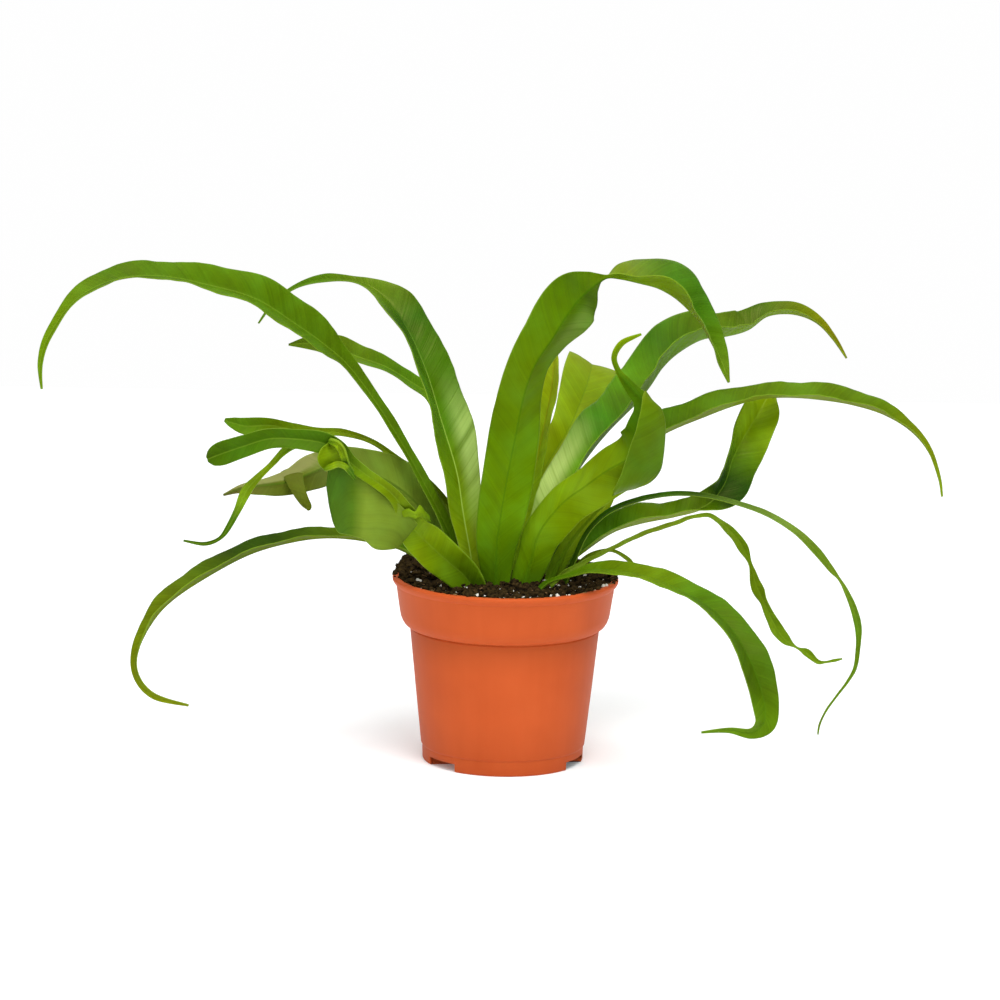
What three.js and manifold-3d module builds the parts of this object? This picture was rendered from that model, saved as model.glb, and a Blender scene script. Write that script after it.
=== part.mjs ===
// Potted fern: an open rosette of nineteen long strap-shaped fronds in a plain plastic nursery pot.
// Millimetres, +Z up. The origin is on the pot's axis at the level that the pot stands on.
// The front of the plant faces -Y.

import * as THREE from 'three';
import { mergeVertices } from 'three/addons/utils/BufferGeometryUtils.js';
import Module from 'manifold-3d';

// ---- Driving dimensions ------------------------------------------------------------------------

const POT_HEIGHT = 99;
const POT_RIM_RADIUS = 60;
const POT_FOOT_RADIUS = 42.8;
const POT_WALL = 1.2;
const POT_SIDES = 56;

const LIP_HEIGHT = 4.2;            // thickened lip at the very top
const LIP_STEP = 2;                // how far it stands out from the collar
const COLLAR_BOTTOM_Z = 80;        // below this the wide collar rounds in
const COLLAR_BOTTOM_RADIUS = 55.8;
const SHOULDER_Z = 71;             // where the collar's round underside meets the body
const SHOULDER_RADIUS = 50.4;
const FOOT_TOP_Z = 9;              // top of the slightly stepped foot band
const FOOT_TOP_RADIUS = 43.7;

const FLOOR_BOTTOM_Z = 5;          // the floor is raised, on a skirt
const FLOOR_THICKNESS = 1.4;
const NOTCH_HEIGHT = 4.4;          // three drainage notches through the skirt
const NOTCH_ARC_DEG = 28;
const NOTCH_AZIMUTHS_DEG = [-50, 66, 188];
const DRAIN_HOLES = 6;
const DRAIN_RADIUS = 3.5;
const DRAIN_CIRCLE_RADIUS = 29;

const GAP = 0.3;                   // clearance between touching solids

const SOIL_LEVEL_Z = 96.4;         // at the rim
const SOIL_MOUND_HEIGHT = 2;       // the soil rises towards the crown
const SOIL_MOUND_SPREAD = 34;
const SOIL_RINGS = 9;
const SOIL_SIDES = 48;
const SOIL_HEAP_X = -41;           // loose soil heaped against the rim at the back left
const SOIL_HEAP_Y = 27;
const SOIL_HEAP_HEIGHT = 5;
const SOIL_HEAP_SPREAD = 14;
const SOIL_LUMP = 0.55;            // height of the crumbly lumps all over

const CROWN_TOP_Z = 99.4;          // short upright rhizome that every frond grows from
const CROWN_BOTTOM_Z = 70;
const CROWN_WIDTH = 62;
const CROWN_DEPTH = 48;
const CROWN_SIDES = 28;

const BLADE_THICKNESS = 0.8;
const STALK_THICKNESS = 1.5;       // added to the blade at the very base, fading up the frond
const STALK_FADE = 16;
const RIB_DEPTH = 0.45;            // midrib, a low keel on the underside
const RIB_BASE_DEPTH = 0.9;
const RIB_FADE = 45;
const STEPS_PER_ROW = 3;
const SOCKET_LENGTH = 75;          // the part of each frond that may lie in the crown or the soil

// The fronds were measured as they are seen from the front, from this far away and this high up.
const VIEW_DISTANCE = 2200;
const VIEW_HEIGHT = 555;
const VIEW_TILT_DEG = 10.7;

// ---- Fronds ------------------------------------------------------------------------------------
// Each row is one station of the midrib, from the base to the tip:
//   [right of the axis, above the table, depth, half-width, turn]
// The first two are read where the line of sight crosses the plane through the pot's axis, the
// depth is positive away from the viewer, and the turn in degrees is 0 where the upper face looks
// at the viewer, 90 where the blade is seen edge on and 180 where its underside shows.
// The fold is the angle that both halves of the blade rise from the midrib.
// The ripple is the height of the soft waves along the margins, and its pitch their length.

const FRONDS = {
  frond_01_left_arch: {
    fold: 26, ripple: 0.7, pitch: 34, colour: 0x5c9415,
    rows: [
      [-17, 90, 5, 3.5, -20], [-33, 127, 3, 3.6, -30], [-53.5, 165, -4, 3.5, -38],
      [-70, 191, -13, 3.9, -40], [-84.5, 210, -20, 4.8, -40], [-97, 221, -26, 10, -44],
      [-112, 231.5, -33, 13, -46], [-134, 245, -44, 13, -46], [-160, 252, -57, 11.2, -50],
      [-184, 256, -69, 8.7, -54], [-207, 253.8, -80, 8.4, -54], [-227.4, 243, -90, 5.3, -50],
      [-241.5, 224, -96, 2.6, -32], [-246.5, 209, -99, 1.4, -10], [-246, 195, -100, 0.5, -10],
    ],
  },
  frond_02_left_upright: {
    fold: 26, ripple: 0.7, pitch: 40, colour: 0x629a18,
    rows: [
      [-16, 92, -5, 5, -10], [-19, 111, -4, 6, -12], [-23, 132, -1, 8.8, -16],
      [-27, 155, 3, 12.8, -33], [-35.5, 182, 8, 17.4, -50], [-43, 206, 14, 15.6, -52],
      [-51.6, 226, 20, 14.3, -51], [-61, 241, 25, 13.2, -47], [-70.5, 250.5, 29, 6.5, -39],
      [-82, 255.5, 32, 2.6, -38], [-97, 256, 35, 2.8, -34], [-112, 252, 38, 1.6, -22],
      [-124, 243, 40, 2.2, -22], [-132, 232, 41, 0.5, -10],
    ],
  },
  frond_03_back_left: {
    fold: 24, ripple: 0.5, pitch: 30, colour: 0x4f8a12,
    rows: [
      [-9, 95, 23, 3, -20], [-15, 124, 29, 4, -20], [-22, 147, 36, 5, -20],
      [-31, 174, 47, 5.5, -20], [-40, 193.6, 58, 4.8, -26], [-52, 202.4, 68, 4.8, -38],
      [-65, 210, 79, 5.6, -42], [-78, 214.5, 91, 7, -40], [-90, 219, 102, 7.5, -30],
      [-102, 222, 111, 5, -14], [-116, 221, 118, 0.5, -10],
    ],
  },
  frond_04_crested: {
    fold: 26, ripple: 0.6, pitch: 26, colour: 0x76a82c,
    rows: [
      [-14, 88, -20, 5, -5], [-18, 95, -23, 8, 10], [-27, 101.5, -28, 9.6, 5],
      [-39, 110.5, -35, 10.4, 0], [-52, 118.5, -43, 10.5, 3], [-64, 126, -51, 14.4, 9],
      [-74, 132, -57, 16.4, 6], [-83, 141, -62, 14.2, 6], [-88, 152, -65, 8.2, 4],
      [-93, 161.5, -66.5, 6.4, 1], [-101, 168.5, -68, 5.6, 0], [-113, 170.8, -69, 5, 0],
      [-126, 170.6, -71, 5.6, 0], [-139, 166.5, -70, 6.2, 0], [-150, 162.5, -68, 6.6, 0],
      [-155.5, 160.3, -67.5, 5, 0], [-158.5, 159, -67, 1.5, 0],
    ],
    // a thin hanging strap forks off the crested tip
    lobe: {
      fold: 20, ripple: 0, pitch: 20,
      rows: [
        [-109, 171, -68.8, 3, -10], [-117, 165, -67.5, 1.8, 0], [-125, 156.5, -66, 1.4, 0],
        [-132.5, 149, -66, 2, 0], [-138, 142, -65, 2.8, 0], [-142, 133, -65, 2, 0],
        [-147, 123, -64, 1.5, 0], [-152, 116.5, -63, 1, 0], [-160, 113.5, -62, 1, 0],
        [-171, 115, -61, 0.5, 0],
      ],
    },
  },
  frond_05_low_left: {
    fold: 30, ripple: 0.4, pitch: 30, colour: 0x558f14,
    rows: [
      [-28, 90, -4, 3, -50], [-40, 104, -9, 3.5, -56], [-56, 113, -17, 4.2, -62],
      [-74, 117, -27, 5.2, -66], [-93, 118.4, -38, 6.4, -68], [-112, 116, -48, 7.8, -70],
      [-135, 109, -60, 8.6, -70], [-157.5, 96.6, -70, 9.6, -70], [-177.5, 82.5, -78, 8.5, -68],
      [-188.8, 69, -82, 5.8, -64], [-195.9, 53, -84, 2.8, -45], [-195, 40, -83, 2.1, -26],
      [-186, 30.2, -81, 1.8, -19], [-168, 25.3, -78, 0.5, -10],
    ],
  },
  frond_06_olive: {
    fold: 18, ripple: 0.5, pitch: 28, colour: 0x7d9a3e,
    rows: [
      [-18, 96, 11, 3.5, 172], [-27, 111, 11, 7.5, 172], [-38, 125, 9.5, 11.5, 175],
      [-50, 139.5, 4, 14, 180], [-62, 148.5, -5, 14.5, 180], [-76, 154.5, -15, 12, 175],
      [-90, 158, -24, 10, 165], [-103, 153, -31, 9.6, 184], [-116, 147.5, -36, 6.8, 172],
      [-131, 145, -40, 4.8, 150], [-141, 143.5, -42, 2.3, 170], [-150, 140, -42, 0.5, 180],
    ],
    // a short finger forks off the upper margin
    lobe: {
      fold: 10, ripple: 0, pitch: 20,
      rows: [
        [-113, 152, -35.5, 3, 180], [-115, 148.5, -39, 3.7, 180], [-112, 144, -42, 4, 180],
        [-108, 139.5, -44, 3.1, 180], [-105, 135.5, -45, 2.2, 180], [-104, 132.5, -45, 1, 180],
      ],
    },
  },
  frond_07_long_stalked: {
    fold: 22, ripple: 0.3, pitch: 24, steps: 2, colour: 0x5f9618,
    rows: [
      [-14, 95, 18.5, 2.4, -30], [-22, 121, 21, 2.5, -30], [-33, 138, 19.5, 2.6, -26],
      [-45, 150.5, 16, 2.7, -26], [-58, 160.5, 10, 2, -26], [-72, 170, 3, 1.6, -26],
      [-87, 174.3, -5, 2.2, -26], [-101, 174.5, -12, 2.6, -24], [-113, 175.6, -18, 3.5, -14],
      [-126, 177.8, -24, 4, 0], [-138, 177.2, -29, 4.7, 0], [-145, 178.8, -31, 3.2, 0],
      [-149.5, 180.3, -32, 1, 0],
    ],
  },
  frond_08_centre: {
    fold: 30, ripple: 0.8, pitch: 44, colour: 0x5b8f1c,
    rows: [
      [-5, 87, -19, 6, 180], [-5, 99, -21, 8.5, 180], [-5, 115, -25, 12.2, 180],
      [-3, 132, -30, 14.4, 182], [0, 152, -35, 15, 182], [4, 175, -39, 14.6, 172],
      [8, 197, -41, 13.6, 158], [13.5, 213, -40, 13.4, 147], [22.6, 227.5, -37, 16, 148],
      [29.5, 239, -34, 17.2, 162], [35.8, 247.5, -31, 16.6, 166], [41.3, 253, -27, 13, 161],
      [45.7, 256.7, -24, 6.7, 150], [50.7, 259.6, -20, 1.6, 115], [58, 259.1, -16, 10, 77],
      [67.7, 257.1, -12, 18.6, 76], [77.4, 254.6, -8, 21.2, 73], [86.2, 249.8, -4, 21.4, 67],
      [93.7, 243.3, -1, 17.7, 65], [99.6, 236.8, 2, 13.5, 61], [104.3, 229.5, 4, 10.3, 56],
      [108.4, 222.1, 5, 6.5, 48], [112.3, 213.7, 6, 3.2, 30], [115.6, 205, 7, 0.6, 15],
    ],
  },
  // this one leans straight back, so its blade is laid across the plant instead
  frond_09_back_centre: {
    fold: 7, ripple: 0.6, pitch: 40, colour: 0x6fa52c, across: [0.92, 0, -0.4],
    rows: [
      [2, 93, 14, 4.5, 0], [5, 116, 21, 7.5, 0], [11, 137.5, 31, 9.3, 0], [20, 158, 43, 9.8, 0],
      [31, 177, 56, 10.2, 0], [37.5, 192.5, 69, 13.2, 0], [41.5, 204.5, 82, 15.4, 0],
      [43.2, 212.6, 94, 14.5, 0], [43.7, 211.5, 104, 13.5, 0], [44.5, 202, 112, 11, 0],
      [45.5, 187, 118, 7, 0], [46, 172, 120, 0.6, 0],
    ],
  },
  frond_10_pale: {
    fold: 20, ripple: 0.3, pitch: 30, colour: 0x93a81c,
    rows: [
      [1, 92.5, 8, 3.5, 0], [5, 116, 13, 4.5, 10], [11.5, 140, 21.5, 6.3, 25],
      [16.5, 166, 26.5, 7.2, 44], [20, 185, 28, 7.2, 48], [22.5, 199, 30, 7.6, 48],
      [23.5, 211, 32, 6.2, 46], [24, 222, 33, 0.6, 30],
    ],
  },
  frond_11_right_upper: {
    fold: 38, ripple: 0.7, pitch: 40, colour: 0x5c9a10,
    rows: [
      [9, 92, -2, 3.6, 25], [13, 108, 1, 6, 28], [20, 124, 6, 9.6, 36], [28.3, 141, 13, 13, 48],
      [36.9, 156.5, 21, 15.2, 56], [45, 168.5, 29, 16.2, 56], [53, 178.5, 37, 17.6, 57],
      [60, 186, 45, 17.6, 61], [67.5, 194, 54, 19, 64], [74, 202.6, 62, 19.4, 64],
      [80.6, 212.9, 70.5, 19.6, 64], [89, 221, 79, 20.5, 64], [101, 228, 90, 19, 64],
      [114, 230, 99, 15, 64], [125, 233.5, 105, 12.5, 61], [135, 240.9, 109, 8.8, 61],
      [148.4, 242.2, 113, 7, 58], [160.6, 238, 116, 3.8, 54], [170, 229, 117, 2, 40],
      [177, 219, 117, 0.5, 40],
    ],
  },
  frond_12_right_mid: {
    fold: 30, ripple: 0.6, pitch: 38, colour: 0x6c9c28,
    rows: [
      [10, 87, -16, 4.6, 180], [10.5, 97, -18, 7, 184], [14, 109, -21, 10, 190],
      [18, 123, -26, 12.5, 198], [29, 138, -34, 13, 199], [42, 148.4, -43, 14, 198],
      [53.5, 157.2, -51, 14.6, 195], [64.5, 164, -57, 16.6, 193], [70, 173, -60, 13, 189],
      [72, 182, -60, 10.6, 188], [72, 189.5, -59, 7.8, 185], [69.6, 195.5, -57, 5, 176],
      [65.5, 200.3, -55, 3.8, 168], [61, 205.3, -53, 2.6, 176], [57.3, 210.3, -51, 1.5, 178],
      [55, 217.5, -50, 1.5, 180], [59, 225, -48, 1.6, 180], [69, 229.8, -46, 0.5, 180],
    ],
  },
  frond_13_right_arch: {
    fold: 30, ripple: 0.6, pitch: 34, colour: 0x559312,
    rows: [
      [17, 92, 4, 3.5, 50], [25, 111, 8.5, 5.5, 52], [37, 131, 13, 8, 54], [51, 150, 19, 10, 56],
      [66.5, 167, 28, 12, 60], [84, 178.3, 39, 14.3, 66], [103, 186.8, 50, 13.6, 68],
      [119, 193.2, 60, 12.4, 67], [134, 197.2, 68, 9.2, 64], [150, 198, 76, 10, 66],
      [166, 196.9, 83, 11, 66], [182, 194.4, 88, 10.4, 66], [198, 189.6, 92, 7.7, 64],
      [212, 181.5, 94, 4.6, 60], [222, 170.5, 95, 1.9, 44], [228, 156.5, 95, 0.9, 10],
      [230, 146, 95, 0.5, 10],
    ],
  },
  frond_14_bent: {
    fold: 32, ripple: 0.6, pitch: 32, colour: 0x4c8a10,
    rows: [
      [22, 91, -4, 3.5, 50], [31, 105, 0, 6, 54], [43, 115, 9.5, 10, 60],
      [57, 124.5, 22, 11.5, 65], [72, 129.4, 33, 12, 66], [88, 132.8, 44, 10.2, 66],
      [101, 136.5, 53, 8, 50], [107.5, 140.6, 57.5, 8.4, 8], [111.5, 145.4, 61, 10.8, -30],
      [115.3, 152.5, 65, 13.4, -40], [118.6, 164.2, 70, 15.2, -42],
      [122.8, 173.5, 76, 14.5, -28], [128, 182.4, 81, 13.3, -12], [131.6, 188.8, 85, 12.4, -7],
      [134.2, 194, 89, 9.6, 0], [136.8, 199, 92, 4.6, 0], [139, 203, 95, 0.6, 0],
    ],
  },
  frond_15_long_thin: {
    fold: 18, ripple: 0, pitch: 30, steps: 2, colour: 0x477f10,
    rows: [
      [30, 91, -10, 1.6, 45], [36, 107, -15, 1.6, 45], [43, 123, -20, 1.7, 48],
      [54, 134.3, -28, 2, 51], [70, 141.2, -37, 2, 51], [88, 144.6, -46, 1.9, 51],
      [104, 144, -54, 1.9, 51], [120, 140.6, -61, 2, 51], [137, 135, -68, 1.9, 51],
      [152, 126, -74, 1.7, 50], [166, 113.5, -79, 1.3, 46], [176.8, 100, -83, 1.1, 25],
      [184.8, 83, -87, 1, 10], [187.9, 66, -89, 1, 0], [184.8, 47.3, -90, 0.9, 0],
      [175.5, 31.8, -90, 0.9, 0], [168.5, 15.5, -89, 0.5, 0],
    ],
  },
  frond_16_wavy_thin: {
    fold: 16, ripple: 0, pitch: 20, steps: 2, colour: 0x689a20,
    rows: [
      [21, 90.5, -17, 1.5, 20], [30, 100, -21, 1.4, 10], [43, 108, -28, 1.2, 0],
      [58, 116, -36, 1.1, 0], [73, 123.5, -45, 1.2, 0], [88, 128.8, -53, 1.2, 0],
      [103, 133, -61, 1.7, 20], [112.3, 129.6, -65, 2.1, 50], [119, 123, -69, 2.8, 10],
      [124.7, 115.8, -72, 3.2, 0], [128.2, 107.3, -75, 2.8, 45], [130.8, 98.3, -78, 3, 10],
      [136.2, 90, -81, 3.1, -20], [142, 79, -84, 2.8, -30], [147.2, 69, -87, 2.5, 10],
      [153.6, 62.8, -90, 1.8, 50], [161, 58.8, -92, 2, 10], [168, 55.3, -94, 1.3, 0],
      [180, 57.3, -96, 0.5, 0],
    ],
  },
  frond_17_low_right: {
    fold: 22, ripple: 0.5, pitch: 36, colour: 0x66a018,
    rows: [
      [15, 87.5, -24, 3, 45], [22, 95.5, -28, 4.3, 45], [33, 99.5, -35, 4.2, 45],
      [46, 103.2, -44, 5.4, 48], [62, 102.5, -56, 6.1, 50], [78, 99, -68, 6.9, 51],
      [94, 92.5, -80, 7.5, 51], [109, 83.6, -92, 8.2, 50], [121, 71.6, -102, 9.5, 46],
      [130, 57.2, -110, 10.2, 38], [136, 43, -114, 9, 27], [139.5, 30, -117, 7.4, 12],
      [139, 21, -118, 6, 22], [132.5, 16, -117, 3.2, 30], [120.5, 17, -116, 1.5, 10],
      [106, 15.5, -115, 0.5, 10],
    ],
  },
  frond_18_tiny: {
    fold: 14, ripple: 0, pitch: 20, steps: 2, colour: 0x6c9a28,
    rows: [
      [27, 92, 4, 1.3, 40], [36, 103, 0, 1.3, 35], [45, 111.5, -4, 1, 10],
      [56, 113.8, -8, 0.9, 0], [65, 109, -12, 1.1, 0], [69, 103.5, -14, 0.5, 10],
    ],
  },
  frond_19_short_right: {
    fold: 24, ripple: 0.2, pitch: 22, colour: 0x5a8a20,
    rows: [
      [22, 91.5, -9.5, 2.6, 165], [27.5, 105, -11, 4.2, 180], [35, 119, -13, 4.5, 180],
      [44.5, 131, -15, 4.6, 180], [52, 139, -17, 3.6, 180], [57, 145.5, -18, 0.6, 180],
    ],
  },
};

const DEG = Math.PI / 180;
const TOWARDS_VIEWER = new THREE.Vector3(
  0,
  -Math.cos(VIEW_TILT_DEG * DEG),
  Math.sin(VIEW_TILT_DEG * DEG),
);

// Smooth value between the rows, for every column at once (a Catmull-Rom spline).
function between(rows, place) {
  const first = Math.min(Math.floor(place), rows.length - 2);
  const t = place - first;
  const p0 = rows[Math.max(first - 1, 0)];
  const p1 = rows[first];
  const p2 = rows[first + 1];
  const p3 = rows[Math.min(first + 2, rows.length - 1)];
  return p1.map((value, i) => {
    const slope1 = (p2[i] - p0[i]) / 2;
    const slope2 = (p3[i] - p1[i]) / 2;
    const rise = p2[i] - value;
    return value + t * (slope1 + t * (3 * rise - 2 * slope1 - slope2 + t * (slope1 + slope2 - 2 * rise)));
  });
}

// The true place of a row: it lies on its line of sight, at its own depth.
function placeOf([right, height, depth]) {
  const behind = 1 + depth / VIEW_DISTANCE;
  return new THREE.Vector3(right * behind, depth, VIEW_HEIGHT + (height - VIEW_HEIGHT) * behind);
}

// Stations along a frond, each with its midrib point, its directions and its sizes.
function stationsOf(frond) {
  const count = (frond.rows.length - 1) * (frond.steps ?? STEPS_PER_ROW);
  const stations = [];
  let length = 0;
  for (let i = 0; i <= count; i += 1) {
    const place = (i / count) * (frond.rows.length - 1);
    const row = between(frond.rows, place);
    const point = placeOf(row);
    const ahead = placeOf(between(frond.rows, Math.min(place + 0.05, frond.rows.length - 1)));
    const behind = placeOf(between(frond.rows, Math.max(place - 0.05, 0)));
    const along = ahead.sub(behind).normalize();
    const flat = new THREE.Vector3().crossVectors(along, TOWARDS_VIEWER);
    if (frond.across) flat.set(...frond.across).projectOnPlane(along);
    flat.normalize();
    const outward = new THREE.Vector3().crossVectors(flat, along);
    const turn = row[4] * DEG;
    const across = flat.clone().multiplyScalar(Math.cos(turn)).addScaledVector(outward, Math.sin(turn));
    const up = new THREE.Vector3().crossVectors(across, along);
    if (i > 0) length += point.distanceTo(stations[i - 1].point);
    stations.push({ point, across, up, halfWidth: Math.max(row[3], 0.5), length });
  }
  return stations;
}

// One closed thin blade: a folded section of six corners carried along the stations.
// Both faces are split into triangles alike.
function bladeGeometry(frond, grow = 0, reach = Infinity) {
  const stations = stationsOf(frond).filter((station) => station.length <= reach);
  const fold = frond.fold * DEG;
  const positions = [];
  for (const { point, across, up, halfWidth, length } of stations) {
    const half = halfWidth + grow;
    const thick = (BLADE_THICKNESS + STALK_THICKNESS * Math.exp(-length / STALK_FADE)) / 2 + grow;
    const rib = Math.min(RIB_DEPTH + RIB_BASE_DEPTH * Math.exp(-length / RIB_FADE), halfWidth * 0.3);
    const wave = frond.ripple * Math.min(1, halfWidth / 6);
    const phase = (length / frond.pitch) * 2 * Math.PI;
    const corner = (side, lift) => {
      const rise = side === 0 ? 0 : wave * Math.sin(phase + side * 1.1);
      return point.clone()
        .addScaledVector(across, side * half * Math.cos(fold))
        .addScaledVector(up, Math.abs(side) * half * Math.sin(fold) + rise + lift);
    };
    const section = [
      corner(-1, thick), corner(0, thick), corner(1, thick),
      corner(1, -thick), corner(0, -thick - rib), corner(-1, -thick),
    ];
    for (const p of section) positions.push(p.x, p.y, p.z);
  }
  const corners = 6;
  const index = [];
  const quad = (a, b, c, d, flip) => {
    if (flip) index.push(a, b, d, b, c, d);
    else index.push(a, b, c, a, c, d);
  };
  for (let i = 0; i < stations.length - 1; i += 1) {
    const here = i * corners;
    const next = here + corners;
    quad(here, here + 1, next + 1, next, false);
    quad(here + 1, here + 2, next + 2, next + 1, true);
    quad(here + 2, here + 3, next + 3, next + 2, false);
    quad(here + 3, here + 4, next + 4, next + 3, false);
    quad(here + 4, here + 5, next + 5, next + 4, true);
    quad(here + 5, here, next, next + 5, false);
  }
  const last = (stations.length - 1) * corners;
  const cap = [0, 5, 1, 5, 4, 1, 4, 3, 1, 3, 2, 1];
  for (let i = 0; i < cap.length; i += 3) {
    index.push(cap[i], cap[i + 1], cap[i + 2]);
    index.push(last + cap[i], last + cap[i + 2], last + cap[i + 1]);
  }
  const geometry = new THREE.BufferGeometry();
  geometry.setAttribute('position', new THREE.Float32BufferAttribute(positions, 3));
  geometry.setIndex(index);
  return geometry;
}

// ---- Solids and meshes -------------------------------------------------------------------------

const wasm = await Module();
wasm.setup();

function toSolid(geometry) {
  const bare = geometry.clone();
  bare.deleteAttribute('normal');
  bare.deleteAttribute('uv');
  const merged = mergeVertices(bare, 1e-4);
  return new wasm.Manifold(new wasm.Mesh({
    numProp: 3,
    vertProperties: new Float32Array(merged.attributes.position.array),
    triVerts: new Uint32Array(merged.index.array),
  }));
}

function toGeometry(solid) {
  const mesh = solid.getMesh();
  const geometry = new THREE.BufferGeometry();
  geometry.setAttribute('position', new THREE.Float32BufferAttribute(mesh.vertProperties, 3));
  geometry.setIndex(Array.from(mesh.triVerts));
  return geometry;
}

// The biggest piece of a cut solid: the crumbs that a cut leaves between two holes are dropped.
function biggestOf(solid) {
  const pieces = solid.decompose();
  return pieces.reduce((best, piece) => (piece.volume() > best.volume() ? piece : best));
}

const material = (color, roughness) => new THREE.MeshStandardMaterial({
  color,
  roughness,
  metalness: 0,
});

const fern = new THREE.Group();

function addNode(name, geometry, finish) {
  const mesh = new THREE.Mesh(geometry, finish);
  mesh.name = name;
  fern.add(mesh);
}

// A turned body from a closed outline of [radius, height] points.
function turned(outline, sides) {
  return new THREE.LatheGeometry(outline.map(([r, z]) => new THREE.Vector2(r, z)), sides)
    .rotateX(Math.PI / 2);
}

// ---- Pot: thin moulded plastic, with a collar, a lip and a notched skirt -----------------------

const bodySlope = (SHOULDER_RADIUS - FOOT_TOP_RADIUS) / (SHOULDER_Z - FOOT_TOP_Z);
const collarTopZ = POT_HEIGHT - LIP_HEIGHT;
const collarTopRadius = POT_RIM_RADIUS - LIP_STEP;
const floorTopZ = FLOOR_BOTTOM_Z + FLOOR_THICKNESS;
const bodyRadiusAt = (z) => FOOT_TOP_RADIUS + (z - FOOT_TOP_Z) * bodySlope;

const potOutside = [
  [POT_FOOT_RADIUS - 0.5, 0],
  [POT_FOOT_RADIUS, 0.7],
  [POT_FOOT_RADIUS + 0.3, FOOT_TOP_Z - 1],
  [FOOT_TOP_RADIUS, FOOT_TOP_Z],
  [bodyRadiusAt(40), 40],
  [SHOULDER_RADIUS, SHOULDER_Z],
  [SHOULDER_RADIUS + 1.9, SHOULDER_Z + 1.4],
  [COLLAR_BOTTOM_RADIUS - 1.8, COLLAR_BOTTOM_Z - 5.2],
  [COLLAR_BOTTOM_RADIUS - 0.6, COLLAR_BOTTOM_Z - 2.6],
  [COLLAR_BOTTOM_RADIUS, COLLAR_BOTTOM_Z],
  [collarTopRadius, collarTopZ],
  [POT_RIM_RADIUS - 0.6, collarTopZ + 0.4],
  [POT_RIM_RADIUS, collarTopZ + 1.2],
  [POT_RIM_RADIUS, POT_HEIGHT - 0.9],
  [POT_RIM_RADIUS - 0.6, POT_HEIGHT],
];
const potInside = [
  [collarTopRadius - POT_WALL, POT_HEIGHT],
  [collarTopRadius - POT_WALL - 0.3, collarTopZ],
  [COLLAR_BOTTOM_RADIUS - POT_WALL, COLLAR_BOTTOM_Z + 1.2],
  [SHOULDER_RADIUS - POT_WALL, SHOULDER_Z + 0.8],
  [bodyRadiusAt(floorTopZ) - POT_WALL, floorTopZ],
];
const potUnder = [
  [0, floorTopZ],
  [0, FLOOR_BOTTOM_Z],
  [POT_FOOT_RADIUS - POT_WALL - 0.4, FLOOR_BOTTOM_Z],
  [POT_FOOT_RADIUS - POT_WALL - 0.5, 0],
  [POT_FOOT_RADIUS - 0.5, 0],
];

function potGeometry() {
  let pot = toSolid(turned([...potOutside, ...potInside, ...potUnder], POT_SIDES));
  const notchWidth = 2 * POT_FOOT_RADIUS * Math.sin((NOTCH_ARC_DEG / 2) * DEG);
  for (const azimuth of NOTCH_AZIMUTHS_DEG) {
    const notch = new THREE.BoxGeometry(notchWidth, 16, 2 * NOTCH_HEIGHT);
    notch.translate(0, -POT_FOOT_RADIUS, 0);
    notch.rotateZ(azimuth * DEG);
    pot = pot.subtract(toSolid(notch));
  }
  for (let i = 0; i < DRAIN_HOLES; i += 1) {
    const hole = new THREE.CylinderGeometry(DRAIN_RADIUS, DRAIN_RADIUS, 4 * FLOOR_THICKNESS, 16);
    hole.rotateX(Math.PI / 2);
    hole.translate(DRAIN_CIRCLE_RADIUS, 0, floorTopZ - FLOOR_THICKNESS / 2);
    hole.rotateZ(((i + 0.5) / DRAIN_HOLES) * 2 * Math.PI);
    pot = pot.subtract(toSolid(hole));
  }
  return toGeometry(pot);
}

// ---- Soil: peat mix that fills the pot, with a crumbly top -------------------------------------

function soilTopZ(x, y) {
  const heap = Math.exp(-((x - SOIL_HEAP_X) ** 2 + (y - SOIL_HEAP_Y) ** 2) / SOIL_HEAP_SPREAD ** 2);
  const lumps = Math.sin(x * 0.31 + 1.3) * Math.cos(y * 0.37 + 0.4)
    + 0.6 * Math.sin(x * 0.73 - y * 0.52) + 0.4 * Math.cos(x * 0.41 + y * 1.07 + 2);
  const mound = Math.exp(-(x * x + y * y) / SOIL_MOUND_SPREAD ** 2);
  return SOIL_LEVEL_Z + SOIL_HEAP_HEIGHT * heap + SOIL_MOUND_HEIGHT * mound + SOIL_LUMP * lumps;
}

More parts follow.
